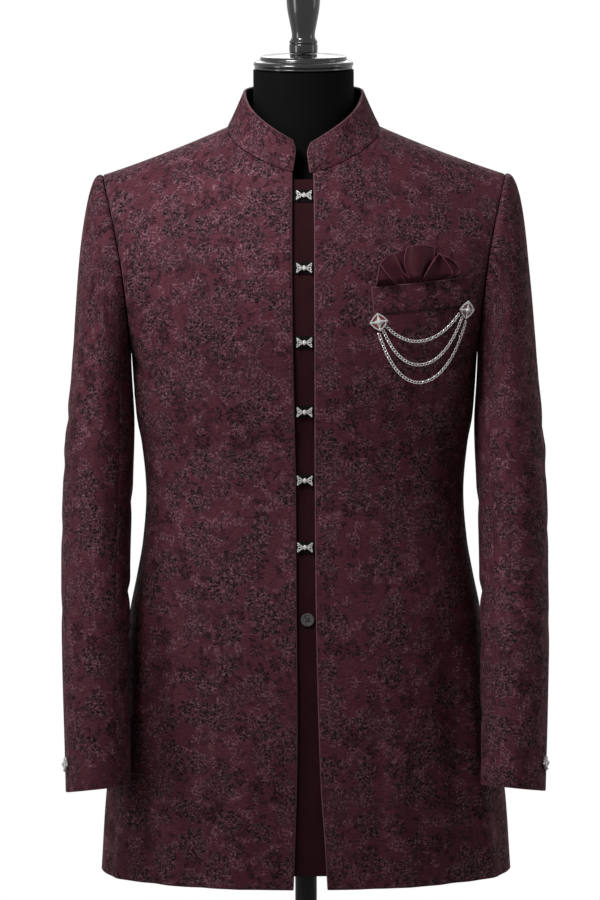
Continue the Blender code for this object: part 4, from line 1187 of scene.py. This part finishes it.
SLEEVE_ALONG = fine_ends(0.0, 1.0, 26, 0.012)[:-1] + fine_ends(1.0, 2.0, 92, 0.0022)[1:]
SLEEVE_ALONG = sorted(set(round(a, 6) for a in SLEEVE_ALONG))
SLEEVE_MIDDLE = (0.2300, -0.03)                     # x and y, for telling a sleeve's outside
SLEEVE_RADIUS = 0.05                                # about, for turning the seam's gap into an angle
gap = SEAM_GAP / 2 / SLEEVE_RADIUS
front_seam, back_seam = math.radians(FRONT_SEAM_DEG), math.radians(BACK_SEAM_DEG)
for side, hand in HANDS:
    axis = Vector((side * SLEEVE_MIDDLE[0], SLEEVE_MIDDLE[1], 0))
    for part, first, last, count, edge, folds, start_u, seed in (
            ("top", back_seam - 2 * math.pi + gap, front_seam - gap, 46, 0.012, TOP_FOLDS[side], 2.2, 20),
            ("under", front_seam + gap, back_seam - gap, 24, 0.008, UNDER_FOLDS, 3.1, 25)):
        made[part + hand] = cloth(
            f"sleeve_{part}_{hand}_cloth", sleeve_surface(side), fine_ends(first, last, count, edge),
            SLEEVE_ALONG, CLOTH_WALL, lambda p: Vector((p.x - axis.x, p.y - axis.y, 0)), CLOTH,
            f"sleeve_{part}_{hand}", uv_start=(start_u + 0.4 * side, 3.1), creases=folds,
            seams="LRB", seed=seed + side, lay="tube")


def collar_point(degrees, up):
    """A point of the collar's outer face; degrees run from the front round one side, negative to -X."""
    turn = abs(degrees)
    side = 1 if degrees > 0 else -1
    low = neck_seam(turn, side) + Vector((0, 0, COLLAR_GAP))
    angle = math.radians(turn)
    depth = COLLAR_TOP_FRONT if turn <= 90 else COLLAR_TOP_BACK
    high = Vector((side * COLLAR_TOP_HALF_WIDTH * math.sin(angle),
                   SHOULDER_Y - depth * math.cos(angle), NECK.at("collar_z", turn)))
    lean = up ** 0.85
    return Vector((low.x + (high.x - low.x) * lean, low.y + (high.y - low.y) * lean,
                   low.z + (high.z - low.z) * up))


COLLAR_ENDS = {-1: (9.0, 7.2), 1: (5.2, 3.0)}       # degrees from the middle at the seam and at the top
COLLAR_CORNER = 3.6                                 # degrees by which the top corners are curved off
COLLAR_CORNER_START = 0.62                          # share of the height


def collar_surface(u, v):
    """The collar's outer face: u from the right front end round the back to the left, v from 0 to 1 up."""
    side = -1 if u < 0.5 else 1
    part = abs(2 * u - 1)
    seam, top = COLLAR_ENDS[side]
    round_off = COLLAR_CORNER * max((v - COLLAR_CORNER_START) / (1 - COLLAR_CORNER_START), 0.0) ** 2.4
    corner = seam + (top - seam) * v + round_off
    return collar_point(side * (180 - (180 - corner) * part), v)


# Columns of the collar's right half, closer at its front end; the left half mirrors them.
half = [0.5 - 0.5 * math.sin(math.pi / 2 * (1 - t)) for t in blend(0.0, 1.0, 62)][:-1]
half = [0.0, 0.0010, 0.0030] + [t for t in half if t > 0.0045]
made["collar"] = cloth("collar_cloth", collar_surface, half + [0.5] + [1 - u for u in reversed(half)],
                       [0.0, 0.012, 0.04] + blend(0.08, 0.94, 12) + [0.975, 1.0], COLLAR_WALL,
                       lambda p: Vector((p.x, p.y - SHOULDER_Y, 0.01)), CLOTH, "collar",
                       uv_start=(4.4, 0.63), seams="B", level=True, unevenness=0.0003, seed=40, lay="band")


# ---------------------------------------------------------------- the opening
def laid_on(thing):
    """The outer surface of a finished front, as a point for x and z seen from the front."""
    def surface(x, z):
        hit, place, _, _ = thing.ray_cast(Vector((x, -1.0, z)), Vector((0, 1, 0)))
        return place if hit else LEFT_FRONT(x, z)
    return surface


ON_LEFT_FRONT = laid_on(made["frontleft"])
RIGHT_FRONT = smooth_front(-1)


def over_the_gap(x, z):
    """The two fronts' outer surfaces, carried on straight over the gap between them."""
    margin = 0.001              # from the free edges to where the fronts' own surfaces are read
    right = FRONT_EDGE.at("right", z) + margin
    left = FRONT_EDGE.at("left", z) + margin
    share = min(max((x + right) / (left + right), 0.0), 1.0)
    right_y = RIGHT_FRONT(max(-x, right), z).y
    left_y = LEFT_FRONT(max(x, left), z).y
    return Vector((x, right_y + (left_y - right_y) * share, z))


PANEL_TOP_Z = 1.383
PANEL_BOTTOM_Z = 0.6115
PANEL_HALF_WIDTH = 0.034
TAB_LIFT = -(CLOTH_WALL + 0.0009)               # the clasps' bands lie behind the fronts
PANEL_LIFT = TAB_LIFT - TAB_WALL - 0.0005       # the inner panel lies behind the bands
CLASP_CLEARANCE = 0.0006

INNER_FOLDS = ((0.034, 0.05, 0.030, 0.40, 0.010, -0.0008), (0.026, 0.30, 0.040, 0.62, 0.009, 0.0006))
# The inner panel's darkened cloth paints the shade of the recess behind the fronts.
made["inner_panel"] = cloth(
    "inner_panel_cloth", over_the_gap, fine_ends(-PANEL_HALF_WIDTH, PANEL_HALF_WIDTH, 14, 0.001),
    fine_ends(PANEL_BOTTOM_Z, PANEL_TOP_Z, 150, 0.001), PANEL_WALL, facing, [MAROON_AND_PAINTED_SHADE, LINING],
    "inner_panel", creases=INNER_FOLDS, unevenness=0.0002, lift=PANEL_LIFT, seed=50)

# One wing of the bow clasp, in millimetres from the clasp's middle: each stone's middle and radius,
# and the points of each wire.
WING_STONES = (
    (2.9, 1.0, 0.75), (2.9, -1.0, 0.75), (4.3, 2.0, 0.85), (4.3, -2.0, 0.85), (5.9, 3.1, 0.95),
    (5.9, -3.1, 0.95), (7.7, 4.4, 1.05), (7.7, -4.4, 1.05), (7.6, 2.2, 0.85), (7.6, -2.2, 0.85),
    (7.0, 0.0, 0.80), (5.2, 0.2, 1.00), (4.0, 0.0, 0.55))
WING_WIRES = (((1.2, 0.4), (4.3, 2.0), (7.7, 4.6)), ((1.2, -0.4), (4.3, -2.0), (7.7, -4.6)),
              ((7.9, 4.6), (6.9, 0.0), (7.9, -4.6)), ((1.0, 0.0), (4.0, 0.0), (7.0, 0.0)))
WING_WIRE, SETTING_WIRE, OVAL_WIRE, POST_RADIUS = 0.00055, 0.00022, 0.00035, 0.0013


def make_clasp(number, level):
    """Two wings of wire and set stones, and a middle with one long stone."""
    build = Build()
    normal = normal_of(over_the_gap, 0.0, level, facing)
    back = TAB_LIFT + CLASP_CLEARANCE
    place = facing_out(over_the_gap(0.0, level) + normal * back, normal)
    for hand in (-1, 1):
        for wire in WING_WIRES:
            build.tube([(hand * x * MM, y * MM, 0.0009) for x, y in wire], WING_WIRE, place=place)
        for x, y, radius in WING_STONES:
            x, y, radius = hand * x * MM, y * MM, radius * MM
            ring = [(x + dx, y + dy, 0.0021) for dx, dy in circle(10, radius)]
            build.tube(ring, SETTING_WIRE, 4, True, place=place)
            build.tube([(x, y, 0.0004), (x, y, 0.0020)], radius * 0.9, 8, place=place)
            build.gem((x, y, 0.0023), radius * 0.92, 0.0007, place=place, turn=0.2 * number)
    oval = [(0.00175 * x, 0.00265 * y, 0.0025) for x, y in circle(16)]
    build.tube(oval, OVAL_WIRE, 5, True, place=place)
    build.tube([(0, -0.0018, 0.0014), (0, 0.0018, 0.0014)], POST_RADIUS, 8, place=place)
    narrow = Matrix.Diagonal((0.62, 1.0, 1.0, 1.0))
    build.gem((0, 0, 0.0028), 0.0025, 0.0010, 10, place=place @ narrow)
    name = f"bow_clasp_{number}"
    put(name, build.mesh(name), [SILVER, CRYSTAL], f"clasp_{number}", 25.0)


for number, level in enumerate(CLASP_LEVELS, 1):
    made[f"tab{number}"] = cloth(
        f"clasp_band_{number}", over_the_gap, fine_ends(-TAB_HALF_WIDTH, TAB_HALF_WIDTH, 12, 0.0006),
        fine_ends(level - TAB_HEIGHT / 2, level + TAB_HEIGHT / 2, 8, 0.0004), TAB_WALL, facing,
        [RIBBON, RIBBON], f"clasp_tab_{number}", unevenness=0.00008, lift=TAB_LIFT,
        seed=60 + number)
    make_clasp(number, level)

# The button is the CAD's own; two crossing stitches hold it.
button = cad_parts["inner_button"]
button.data.materials.clear()
button.data.materials.append(HORN)
low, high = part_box("inner_button")
middle = (Vector(low) + Vector(high)) / 2
normal = normal_of(over_the_gap, BUTTON_X, BUTTON_LEVEL, facing)
stitch = Build()
stitch_place = facing_out(Vector((middle.x, low[1], middle.z)) - normal * 0.0004, normal)
STITCH_REACH, STITCH_RADIUS = 0.0023, 0.00042
for turn in (math.radians(45), math.radians(135)):
    x, y = STITCH_REACH * math.cos(turn), STITCH_REACH * math.sin(turn)
    route = [(x * t, y * t, 0.0005 * (1 - t * t) - 0.0008) for t in (-1.0, -0.6, 0.0, 0.6, 1.0)]
    stitch.tube(route, STITCH_RADIUS, place=stitch_place)
crossing = bpy.data.objects.new("button_thread", stitch.mesh("button_thread"))
bpy.context.scene.collection.objects.link(crossing)
crossing.data.materials.append(THREAD)
crossing.data.shade_smooth()
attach(crossing, "root")

# ---------------------------------------------------------------- the breast pocket
# x and z of the welt's corners: its bottom and top edge, each from the inner end to the outer.
WELT_LOW = ((0.0768, 1.2357), (0.1830, 1.2424))
WELT_HIGH = ((0.0743, 1.2641), (0.1832, 1.2717))
WELT_LENGTH = 109.0                     # of its top edge, in millimetres


def between(start, end, share):
    return [a + (b - a) * share for a, b in zip(start, end)]


def welt_place(along, up):
    """x and z on the front at a fraction along and up the welt."""
    return between(between(*WELT_LOW, along), between(*WELT_HIGH, along), up)


def on_welt(u, v):
    """The welt's outer surface, standing off the front a little more at its open top edge."""
    x, z = welt_place(u, v)
    return ON_LEFT_FRONT(x, z) + normal_of(LEFT_FRONT, x, z, facing) * (0.0005 + 0.0010 * v)


# The welt's top and side edges take the lighter edge finish, a painted highlight.
made["welt"] = cloth(
    "pocket_welt_cloth", on_welt, fine_ends(0.0, 1.0, 44, 0.012), fine_ends(0.0, 1.0, 12, 0.040),
    WELT_WALL, facing, CLOTH, "pocket_welt", uv_start=(5.3, 0.2), unevenness=0.00015,
    lift=WELT_WALL * 0.6, seed=70, fold_line="TLR")

# Petals of the folded square, back to front: the left and right side, the lift off the cloth at the
# foot and at the tip, and the belly between them. Each side is a curve of points, in millimetres
# along the welt and above its top edge; lifts and belly are in units of LIFT_UNIT.
PETALS = (
    (((45, -8), (42, 0), (31, 18), (25.5, 33)), ((53, -8), (51, 0), (43, 20), (40.5, 39)), 1.2, 1.5, 0.8),
    (((57, -8), (59, 0), (66, 20), (67, 35)), ((75, -8), (77, 0), (97, 9), (93, 19), (84, 26.5)),
     1.6, 3.4, -2.2),
    (((51, -8), (51.5, 0), (41, 13), (37, 26), (39.5, 41)),
     ((54, -8), (54, 0), (61, 14), (69.5, 27), (68.8, 38.5)), 2.2, 3.4, 5.6),
    (((53, -8), (54, 0), (62.5, 16.5), (73.0, 30.5)), ((75, -8), (77, 0), (86, 5), (87, 12), (75, 30)),
     3.4, 5.8, -1.8),
    (((31, -8), (34, 0), (19, 13), (10.5, 25.5)), ((51, -8), (51, 0), (35.5, 15), (30, 26), (24.5, 36)),
     3.0, 6.0, -2.4),
    (((6, -8), (7, 0), (8, 12), (9.6, 25)), ((36, -8), (37, 0), (23.5, 8.5), (12.0, 24)), 3.8, 5.6, 2.2))
PETAL_SHIFT, PETAL_DROP = 3.0, 2.5      # from the petals' places to the welt's, in millimetres
LIFT_UNIT, LEAST_LIFT = 0.0015, 0.0012
TUCKED_LIFT, TUCKED_STEP = 0.00035, 0.00006     # of the feet behind the welt, and from petal to petal
TUCK_HEIGHT = 7.0                       # above the top edge, where a petal is wholly out of the pocket
HIDDEN_ROWS = 12                        # of each petal, in the pocket
SQUARE_WALL = 0.0007
ROLL_RADIUS = 0.00062                   # of the rolled edges


def along_curve(points, t):
    """A smooth curve through the points, t from 0 to 1."""
    n = len(points) - 1
    s = min(t * n, n - 1e-6)
    i = int(s)
    return bend(*(Vector(points[min(max(i + k, 0), n)]) for k in (-1, 0, 1, 2)), s - i)


def petal_point(index, u, v):
    """A point of one petal: u from its left side to its right, v from foot to tip."""
    left, right, foot, tip, belly = PETALS[index]
    spot = along_curve(left, v).lerp(along_curve(right, v), u)
    arch = math.sin(math.pi * u)
    x, z = welt_place((spot.x - PETAL_SHIFT) / WELT_LENGTH, 1.0)
    up = spot.y - PETAL_DROP + 1.6 * arch * v ** 3
    z += up * MM
    edge = min(u, 1 - u)
    rise = foot + (tip - foot) * smooth_step(v * 1.1) + belly * arch ** 0.8 * (1 - 0.35 * v)
    rise += 1.3 * math.exp(-(edge / 0.07) ** 2) * smooth_step(v * 2.5)
    rise += 0.35 * math.sin(6 * u + 2.1 * index + 3 * v)
    tucked = TUCKED_LIFT + TUCKED_STEP * index
    lift = tucked + (rise * LIFT_UNIT + LEAST_LIFT - tucked) * smooth_step(up / TUCK_HEIGHT)
    return LEFT_FRONT(x, z) + normal_of(LEFT_FRONT, x, z, facing) * lift


def make_square():
    """All the petals as thin shells, with a rolled edge round what shows of each in a lighter satin that
    paints its highlight.
    """
    points, faces, uvs, edges = [], [], [], []
    total = 0.0
    for index in range(len(PETALS)):
        grid = np.array([[petal_point(index, u, v) for u in blend(0.0, 1.0, 22)]
                         for v in blend(0.0, 1.0, 30)], dtype=float)
        rows, columns = grid.shape[:2]
        normals = unit(np.cross(np.gradient(grid, axis=1), np.gradient(grid, axis=0)))
        if normals[rows // 2, columns // 2][1] > 0:
            normals = -normals
        total += grid_area(grid)
        around = [*grid[HIDDEN_ROWS:, 0], *grid[-1, 1:-1], *grid[:HIDDEN_ROWS - 1:-1, -1]]
        edges.append([Vector(p) for p in around])
        start, count = len(points), rows * columns
        for layer in (grid, grid - normals * SQUARE_WALL):
            points += [tuple(p) for p in layer.reshape(-1, 3)]
        flat = np.stack([arcs(grid, 1) + 0.2 * index, arcs(grid, 0)], axis=-1).reshape(-1, 2)
        uvs += [tuple(p) for p in flat] * 2
        for p, p1, q1, q in ((start + i * columns + j, start + i * columns + j + 1,
                              start + (i + 1) * columns + j + 1, start + (i + 1) * columns + j)
                             for i in range(rows - 1) for j in range(columns - 1)):
            faces += [(p, q, q1, p1), (count + p, count + p1, count + q1, count + q)]
        rim = [start + i * columns + j for i, j, _ in border(rows, columns)]
        faces += [(p, q, count + q, count + p) for p, q in zip(rim, rim[1:] + rim[:1])]
    kinds = [0] * len(faces)
    # The rolled edges get the lighter satin, a painted highlight along each petal's edge.
    rolls = Build()
    for route in edges:
        rolls.tube(route, ROLL_RADIUS)
    faces += [tuple(len(points) + i for i in face) for face in rolls.faces]
    kinds += [1] * len(rolls.faces)
    points += [tuple(p) for p in rolls.points]
    uvs += [(p.x, p.z) for p in rolls.points]
    mesh = face_outward(mesh_of("pocket_square_folds", points, faces, uvs, kinds))
    square = put("pocket_square_folds", mesh, [SATIN, SATIN_PAINTED_HIGHLIGHT], "pocket_square", 70.0)
    square["flat_area"] = total
    return square


made["square"] = make_square()


# ---------------------------------------------------------------- brooches and studs
def star(size, waist, z=0.0):
    """Corners of a four-point star, points up, down and to the sides, with waists between them."""
    return [(x * (waist if i % 2 else 1), y * (waist if i % 2 else 1), z)
            for i, (x, y) in enumerate(circle(8, size / 2))]


def make_star(name, node, place, size, waist, thickness, enamel):
    """A plate with a wire border, a faceted star of glass on it, and stones at its points and middle."""
    build = Build()
    build.plate([p[:2] for p in star(size * 0.97, waist)], 0.0, thickness * 0.45, 0.0003, 0, place)
    build.tube(star(size * 0.96, waist, thickness * 0.45), size * 0.024, closed=True, place=place)
    if enamel:
        field = [p[:2] for p in star(size * 0.84, waist)]
        build.plate(field, thickness * 0.40, thickness * 0.55, 0.0003, 2, place)
    arms = star(size * 0.88, 0.34 if enamel else waist * 0.92, thickness * 0.58)
    top = [(0, 0, thickness * 1.05)]
    arms = [(x, y, z + (thickness * 0.10 if i % 2 else 0)) for i, (x, y, z) in enumerate(arms)]
    build.add(top + arms, [(0, 1 + i, 1 + (i + 1) % 8) for i in range(8)], 1, place)
    for x, y, _ in star(size * 0.80, waist)[::2]:
        build.gem((x * 0.93, y * 0.93, thickness * 0.62), size * 0.058, thickness * 0.30, place=place)
    ring = [(x, y, thickness * 0.98) for x, y in circle(12, size * 0.105)]
    build.tube(ring, size * 0.018, 5, True, place=place)
    build.gem((0, 0, thickness * 1.02), size * 0.095, thickness * 0.22, 10, place=place)
    put(name, build.mesh(name), [SILVER, CRYSTAL, ENAMEL], node, 22.0)


BROOCH_TILTS = (8, -6)                  # degrees
STUD_TURN, STUD_ALONG = math.radians(24), 1.935     # on the sleeve: round, and along
for number, (x, z) in enumerate(BROOCHES, 1):
    normal = normal_of(LEFT_FRONT, x, z, facing)
    place = facing_out(LEFT_FRONT(x, z) + normal * (WELT_WALL + 0.0022), normal)
    tilt = Matrix.Rotation(math.radians(BROOCH_TILTS[number - 1]), 4, "Z")
    make_star(f"star_brooch_{number}", f"brooch_{number}", place @ tilt, BROOCH_SIZE, 0.80, 0.0036, True)
for side, hand in HANDS:
    normal = normal_of(sleeve_surface(side), STUD_TURN, STUD_ALONG, lambda _: Vector((side, -0.5, 0)))
    place = facing_out(sleeve_point(side, STUD_TURN, STUD_ALONG) + normal * 0.0009, normal)
    make_star(f"cuff_stud_{hand}_star", f"cuff_stud_{hand}", place, STUD_SIZE, 0.72, 0.0040, False)


# ---------------------------------------------------------------- the dress form and its stand
def make_form():
    """The torso, closed at the bottom with a rounded edge and at the neck under the cap."""
    sides = 120
    lowest, highest = FORM.keys[0], FORM.keys[-1]
    rings = [(FORM_BOTTOM_Z, 0.030), (FORM_BOTTOM_Z, 0.010), (FORM_BOTTOM_Z + 0.001, 0.0055),
             (FORM_BOTTOM_Z + 0.003, 0.0030), (lowest, 0.0)]
    rings += [(z, 0.0) for z in blend(lowest, highest, 96)[1:] + [1.475, 1.485, CAP_Z - SEAM_GAP]]
    points = []
    for z, inset in rings:
        half_width, front, back, full = (FORM.at(n, z) for n in ("half_width", "front", "back", "fullness"))
        for c, s in circle(sides):
            depth = back if s > 0 else front
            points.append(((half_width - inset) * math.copysign(abs(c) ** (2 / full), c),
                           (depth - inset) * math.copysign(abs(s) ** (2 / full), s), z))
    faces = rings_joined(len(rings), sides)
    faces.append(tuple(reversed(range(sides))))
    faces.append(tuple(range((len(rings) - 1) * sides, len(rings) * sides)))
    mesh = mesh_of("form_jersey_body", points, faces)
    put("form_jersey_body", mesh, [JERSEY], "form_body", 50.0)


make_form()
# Turned outlines: radius and height of each point.
CAP_HEIGHT = 0.0180
CAP = ((0.002, 0.0180), (0.017, 0.0177), (0.034, 0.0166), (0.0435, 0.0158), (0.0468, 0.0148),
       (0.0482, 0.0128), (0.0486, 0.0112), (0.0500, 0.0102), (0.0530, 0.0096), (0.0550, 0.0080),
       (0.0556, 0.0060),
       (0.0550, 0.0045), (0.0543, 0.0035), (0.0546, 0.0022), (0.0540, 0.0010), (0.0520, 0.0002))
turned("form_cap_turned", [(0, CAP_HEIGHT)] + rounded(CAP, 4) + [(0.048, 0.0), (0, 0)], GLOSS, "form_cap",
       CAP_Z)
FINIAL_TOP = ((0.001, 0.0900), (0.0060, 0.0893), (0.0120, 0.0860), (0.0165, 0.0795), (0.0186, 0.0700),
              (0.0188, 0.0600), (0.0178, 0.0480), (0.0152, 0.0340), (0.0132, 0.0235), (0.0129, 0.0190),
              (0.0134, 0.0165), (0.0150, 0.0140), (0.0157, 0.0128))
FINIAL_FOOT = ((0.0157, 0.0118), (0.0151, 0.0110), (0.0151, 0.0102), (0.0158, 0.0094), (0.0158, 0.0060),
               (0.0157, 0.0020), (0.0154, 0.0004))
FINIAL = [(0, 0.0900)] + rounded(FINIAL_TOP, 5) + rounded(FINIAL_FOOT, 3) + [(0, 0)]
turned("form_finial_turned", FINIAL, GLOSS, "form_finial", CAP_Z + CAP_HEIGHT + SEAM_GAP)
BASE = ((0.030, BASE_TOP_Z), (0.070, 0.0172), (0.110, 0.0156), (0.150, 0.0136), (0.180, 0.0116),
        (0.1880, 0.0106), (0.1950, 0.0092), (0.1985, 0.0072), (0.1998, 0.0050), (0.2000, 0.0030),
        (0.1998, 0.0012), (0.1985, 0.0001))
turned("stand_base_turned", [(0, BASE_TOP_Z)] + rounded(BASE, 4) + [(0, 0)], GLOSS, "form_base",
       steps=160)
HUB_IN = POLE_RADIUS + SEAM_GAP
HUB_LOW = BASE_TOP_Z + SEAM_GAP
HUB = ((0.0165, 0.0750), (0.0173, 0.0742), (0.0176, 0.0725), (0.0178, 0.0600), (0.0181, 0.0450),
       (0.0198, 0.0385), (0.0235, 0.0335), (0.0268, 0.0290), (0.0283, 0.0250), (0.0285, 0.0215))
HUB = [(HUB_IN, 0.075)] + rounded(HUB, 4) + [(0.0285, HUB_LOW), (HUB_IN, HUB_LOW), (HUB_IN, 0.075)]
turned("stand_hub_turned", HUB, STEEL, "form_hub")
POLE_TOP = FORM_BOTTOM_Z - SEAM_GAP
POLE = [(0, POLE_TOP), (POLE_RADIUS - 0.0008, POLE_TOP), (POLE_RADIUS - 0.0002, POLE_TOP - 0.0002)]
POLE += [(POLE_RADIUS, z) for z in blend(POLE_TOP - 0.0008, HUB_LOW + 0.0008, 24)]
POLE += [(POLE_RADIUS - 0.0008, HUB_LOW), (0, HUB_LOW)]
turned("stand_pole_tube", POLE, STEEL, "form_pole")


# ---------------------------------------------------------------- sheets
for key in [part + hand for part in ("front", "back", "top", "under") for _, hand in HANDS] + [
        "collar", "inner_panel"]:
    declare(made[key])
declare(made["welt"])
for number in range(1, len(CLASP_LEVELS) + 1):
    declare(made[f"tab{number}"])

# ---------------------------------------------------------------- light, floor and backdrop
FLOOR_RADIUS = 2.4
FLOOR_Z = -0.0006               # just under the stand
floor_points = [(x, y, FLOOR_Z) for x, y in circle(96, FLOOR_RADIUS)]
floor = bpy.data.objects.new("floor", mesh_of("floor", floor_points, [tuple(range(96))]))
bpy.context.scene.collection.objects.link(floor)
WHITE = solid_finish("floor_white", (0.78, 0.78, 0.78), (0.82, 0.82, 0.82), 3.0, 0.7, 0.8)
floor.data.materials.append(WHITE)


def lamp(name, azimuth, elevation, distance, size, power, aim=Vector((0, 0, 1.10)), tall=None,
         spread=180.0):
    """A soft lamp aimed at the coat. Azimuth runs from the front towards the viewer's left."""
    data = bpy.data.lights.new(name, "AREA")
    data.shape = "RECTANGLE"
    data.size, data.size_y = size, tall or size
    data.energy = power
    data.spread = math.radians(spread)
    thing = bpy.data.objects.new(name, data)
    a, e = math.radians(azimuth), math.radians(elevation)
    way = Vector((-math.sin(a) * math.cos(e), -math.cos(a) * math.cos(e), math.sin(e)))
    thing.location = aim + way * distance
    thing.rotation_mode = "QUATERNION"
    thing.rotation_quaternion = (aim - thing.location).to_track_quat("-Z", "Y")
    bpy.context.scene.collection.objects.link(thing)


lamp("key", 38, 42, 1.8, 0.6, 2.7, aim=Vector((-0.04, 0, 1.40)), spread=50.0)
lamp("side", 60, 10, 2.4, 0.5, 12, aim=Vector((-0.2, 0, 0.95)), tall=1.4)
lamp("rim_right", -85, 15, 2.6, 0.6, 5, tall=1.6)
lamp("back_fill", 180, 30, 3.2, 1.6, 24)

# The backdrop is white to the camera; reflections see a brighter room than the fill light does.
ROOM_FILL, ROOM_GLOSS = 0.10, 0.42
world = bpy.data.worlds.new("backdrop")
world.use_nodes = True
bpy.context.scene.world = world
tree = world.node_tree
white = tree.nodes["Background"]
white.inputs["Color"].default_value = (1.0, 1.0, 1.0, 1.0)
white.inputs["Strength"].default_value = 1.0
dim = tree.nodes.new("ShaderNodeBackground")
dim.inputs["Color"].default_value = (1.0, 0.98, 0.97, 1.0)
path = tree.nodes.new("ShaderNodeLightPath")
mixed = tree.nodes.new("ShaderNodeMixShader")
tree.links.new(path.outputs["Is Camera Ray"], mixed.inputs[0])
room = tree.nodes.new("ShaderNodeMath")
room.operation = "MULTIPLY_ADD"
tree.links.new(path.outputs["Is Glossy Ray"], room.inputs[0])
room.inputs[1].default_value = ROOM_GLOSS
room.inputs[2].default_value = ROOM_FILL
tree.links.new(room.outputs[0], dim.inputs["Strength"])
tree.links.new(dim.outputs[0], mixed.inputs[1])
tree.links.new(white.outputs[0], mixed.inputs[2])
tree.links.new(mixed.outputs[0], tree.nodes["World Output"].inputs[0])
bpy.context.scene.view_settings.view_transform = "Standard"
bpy.context.scene.view_settings.look = "None"
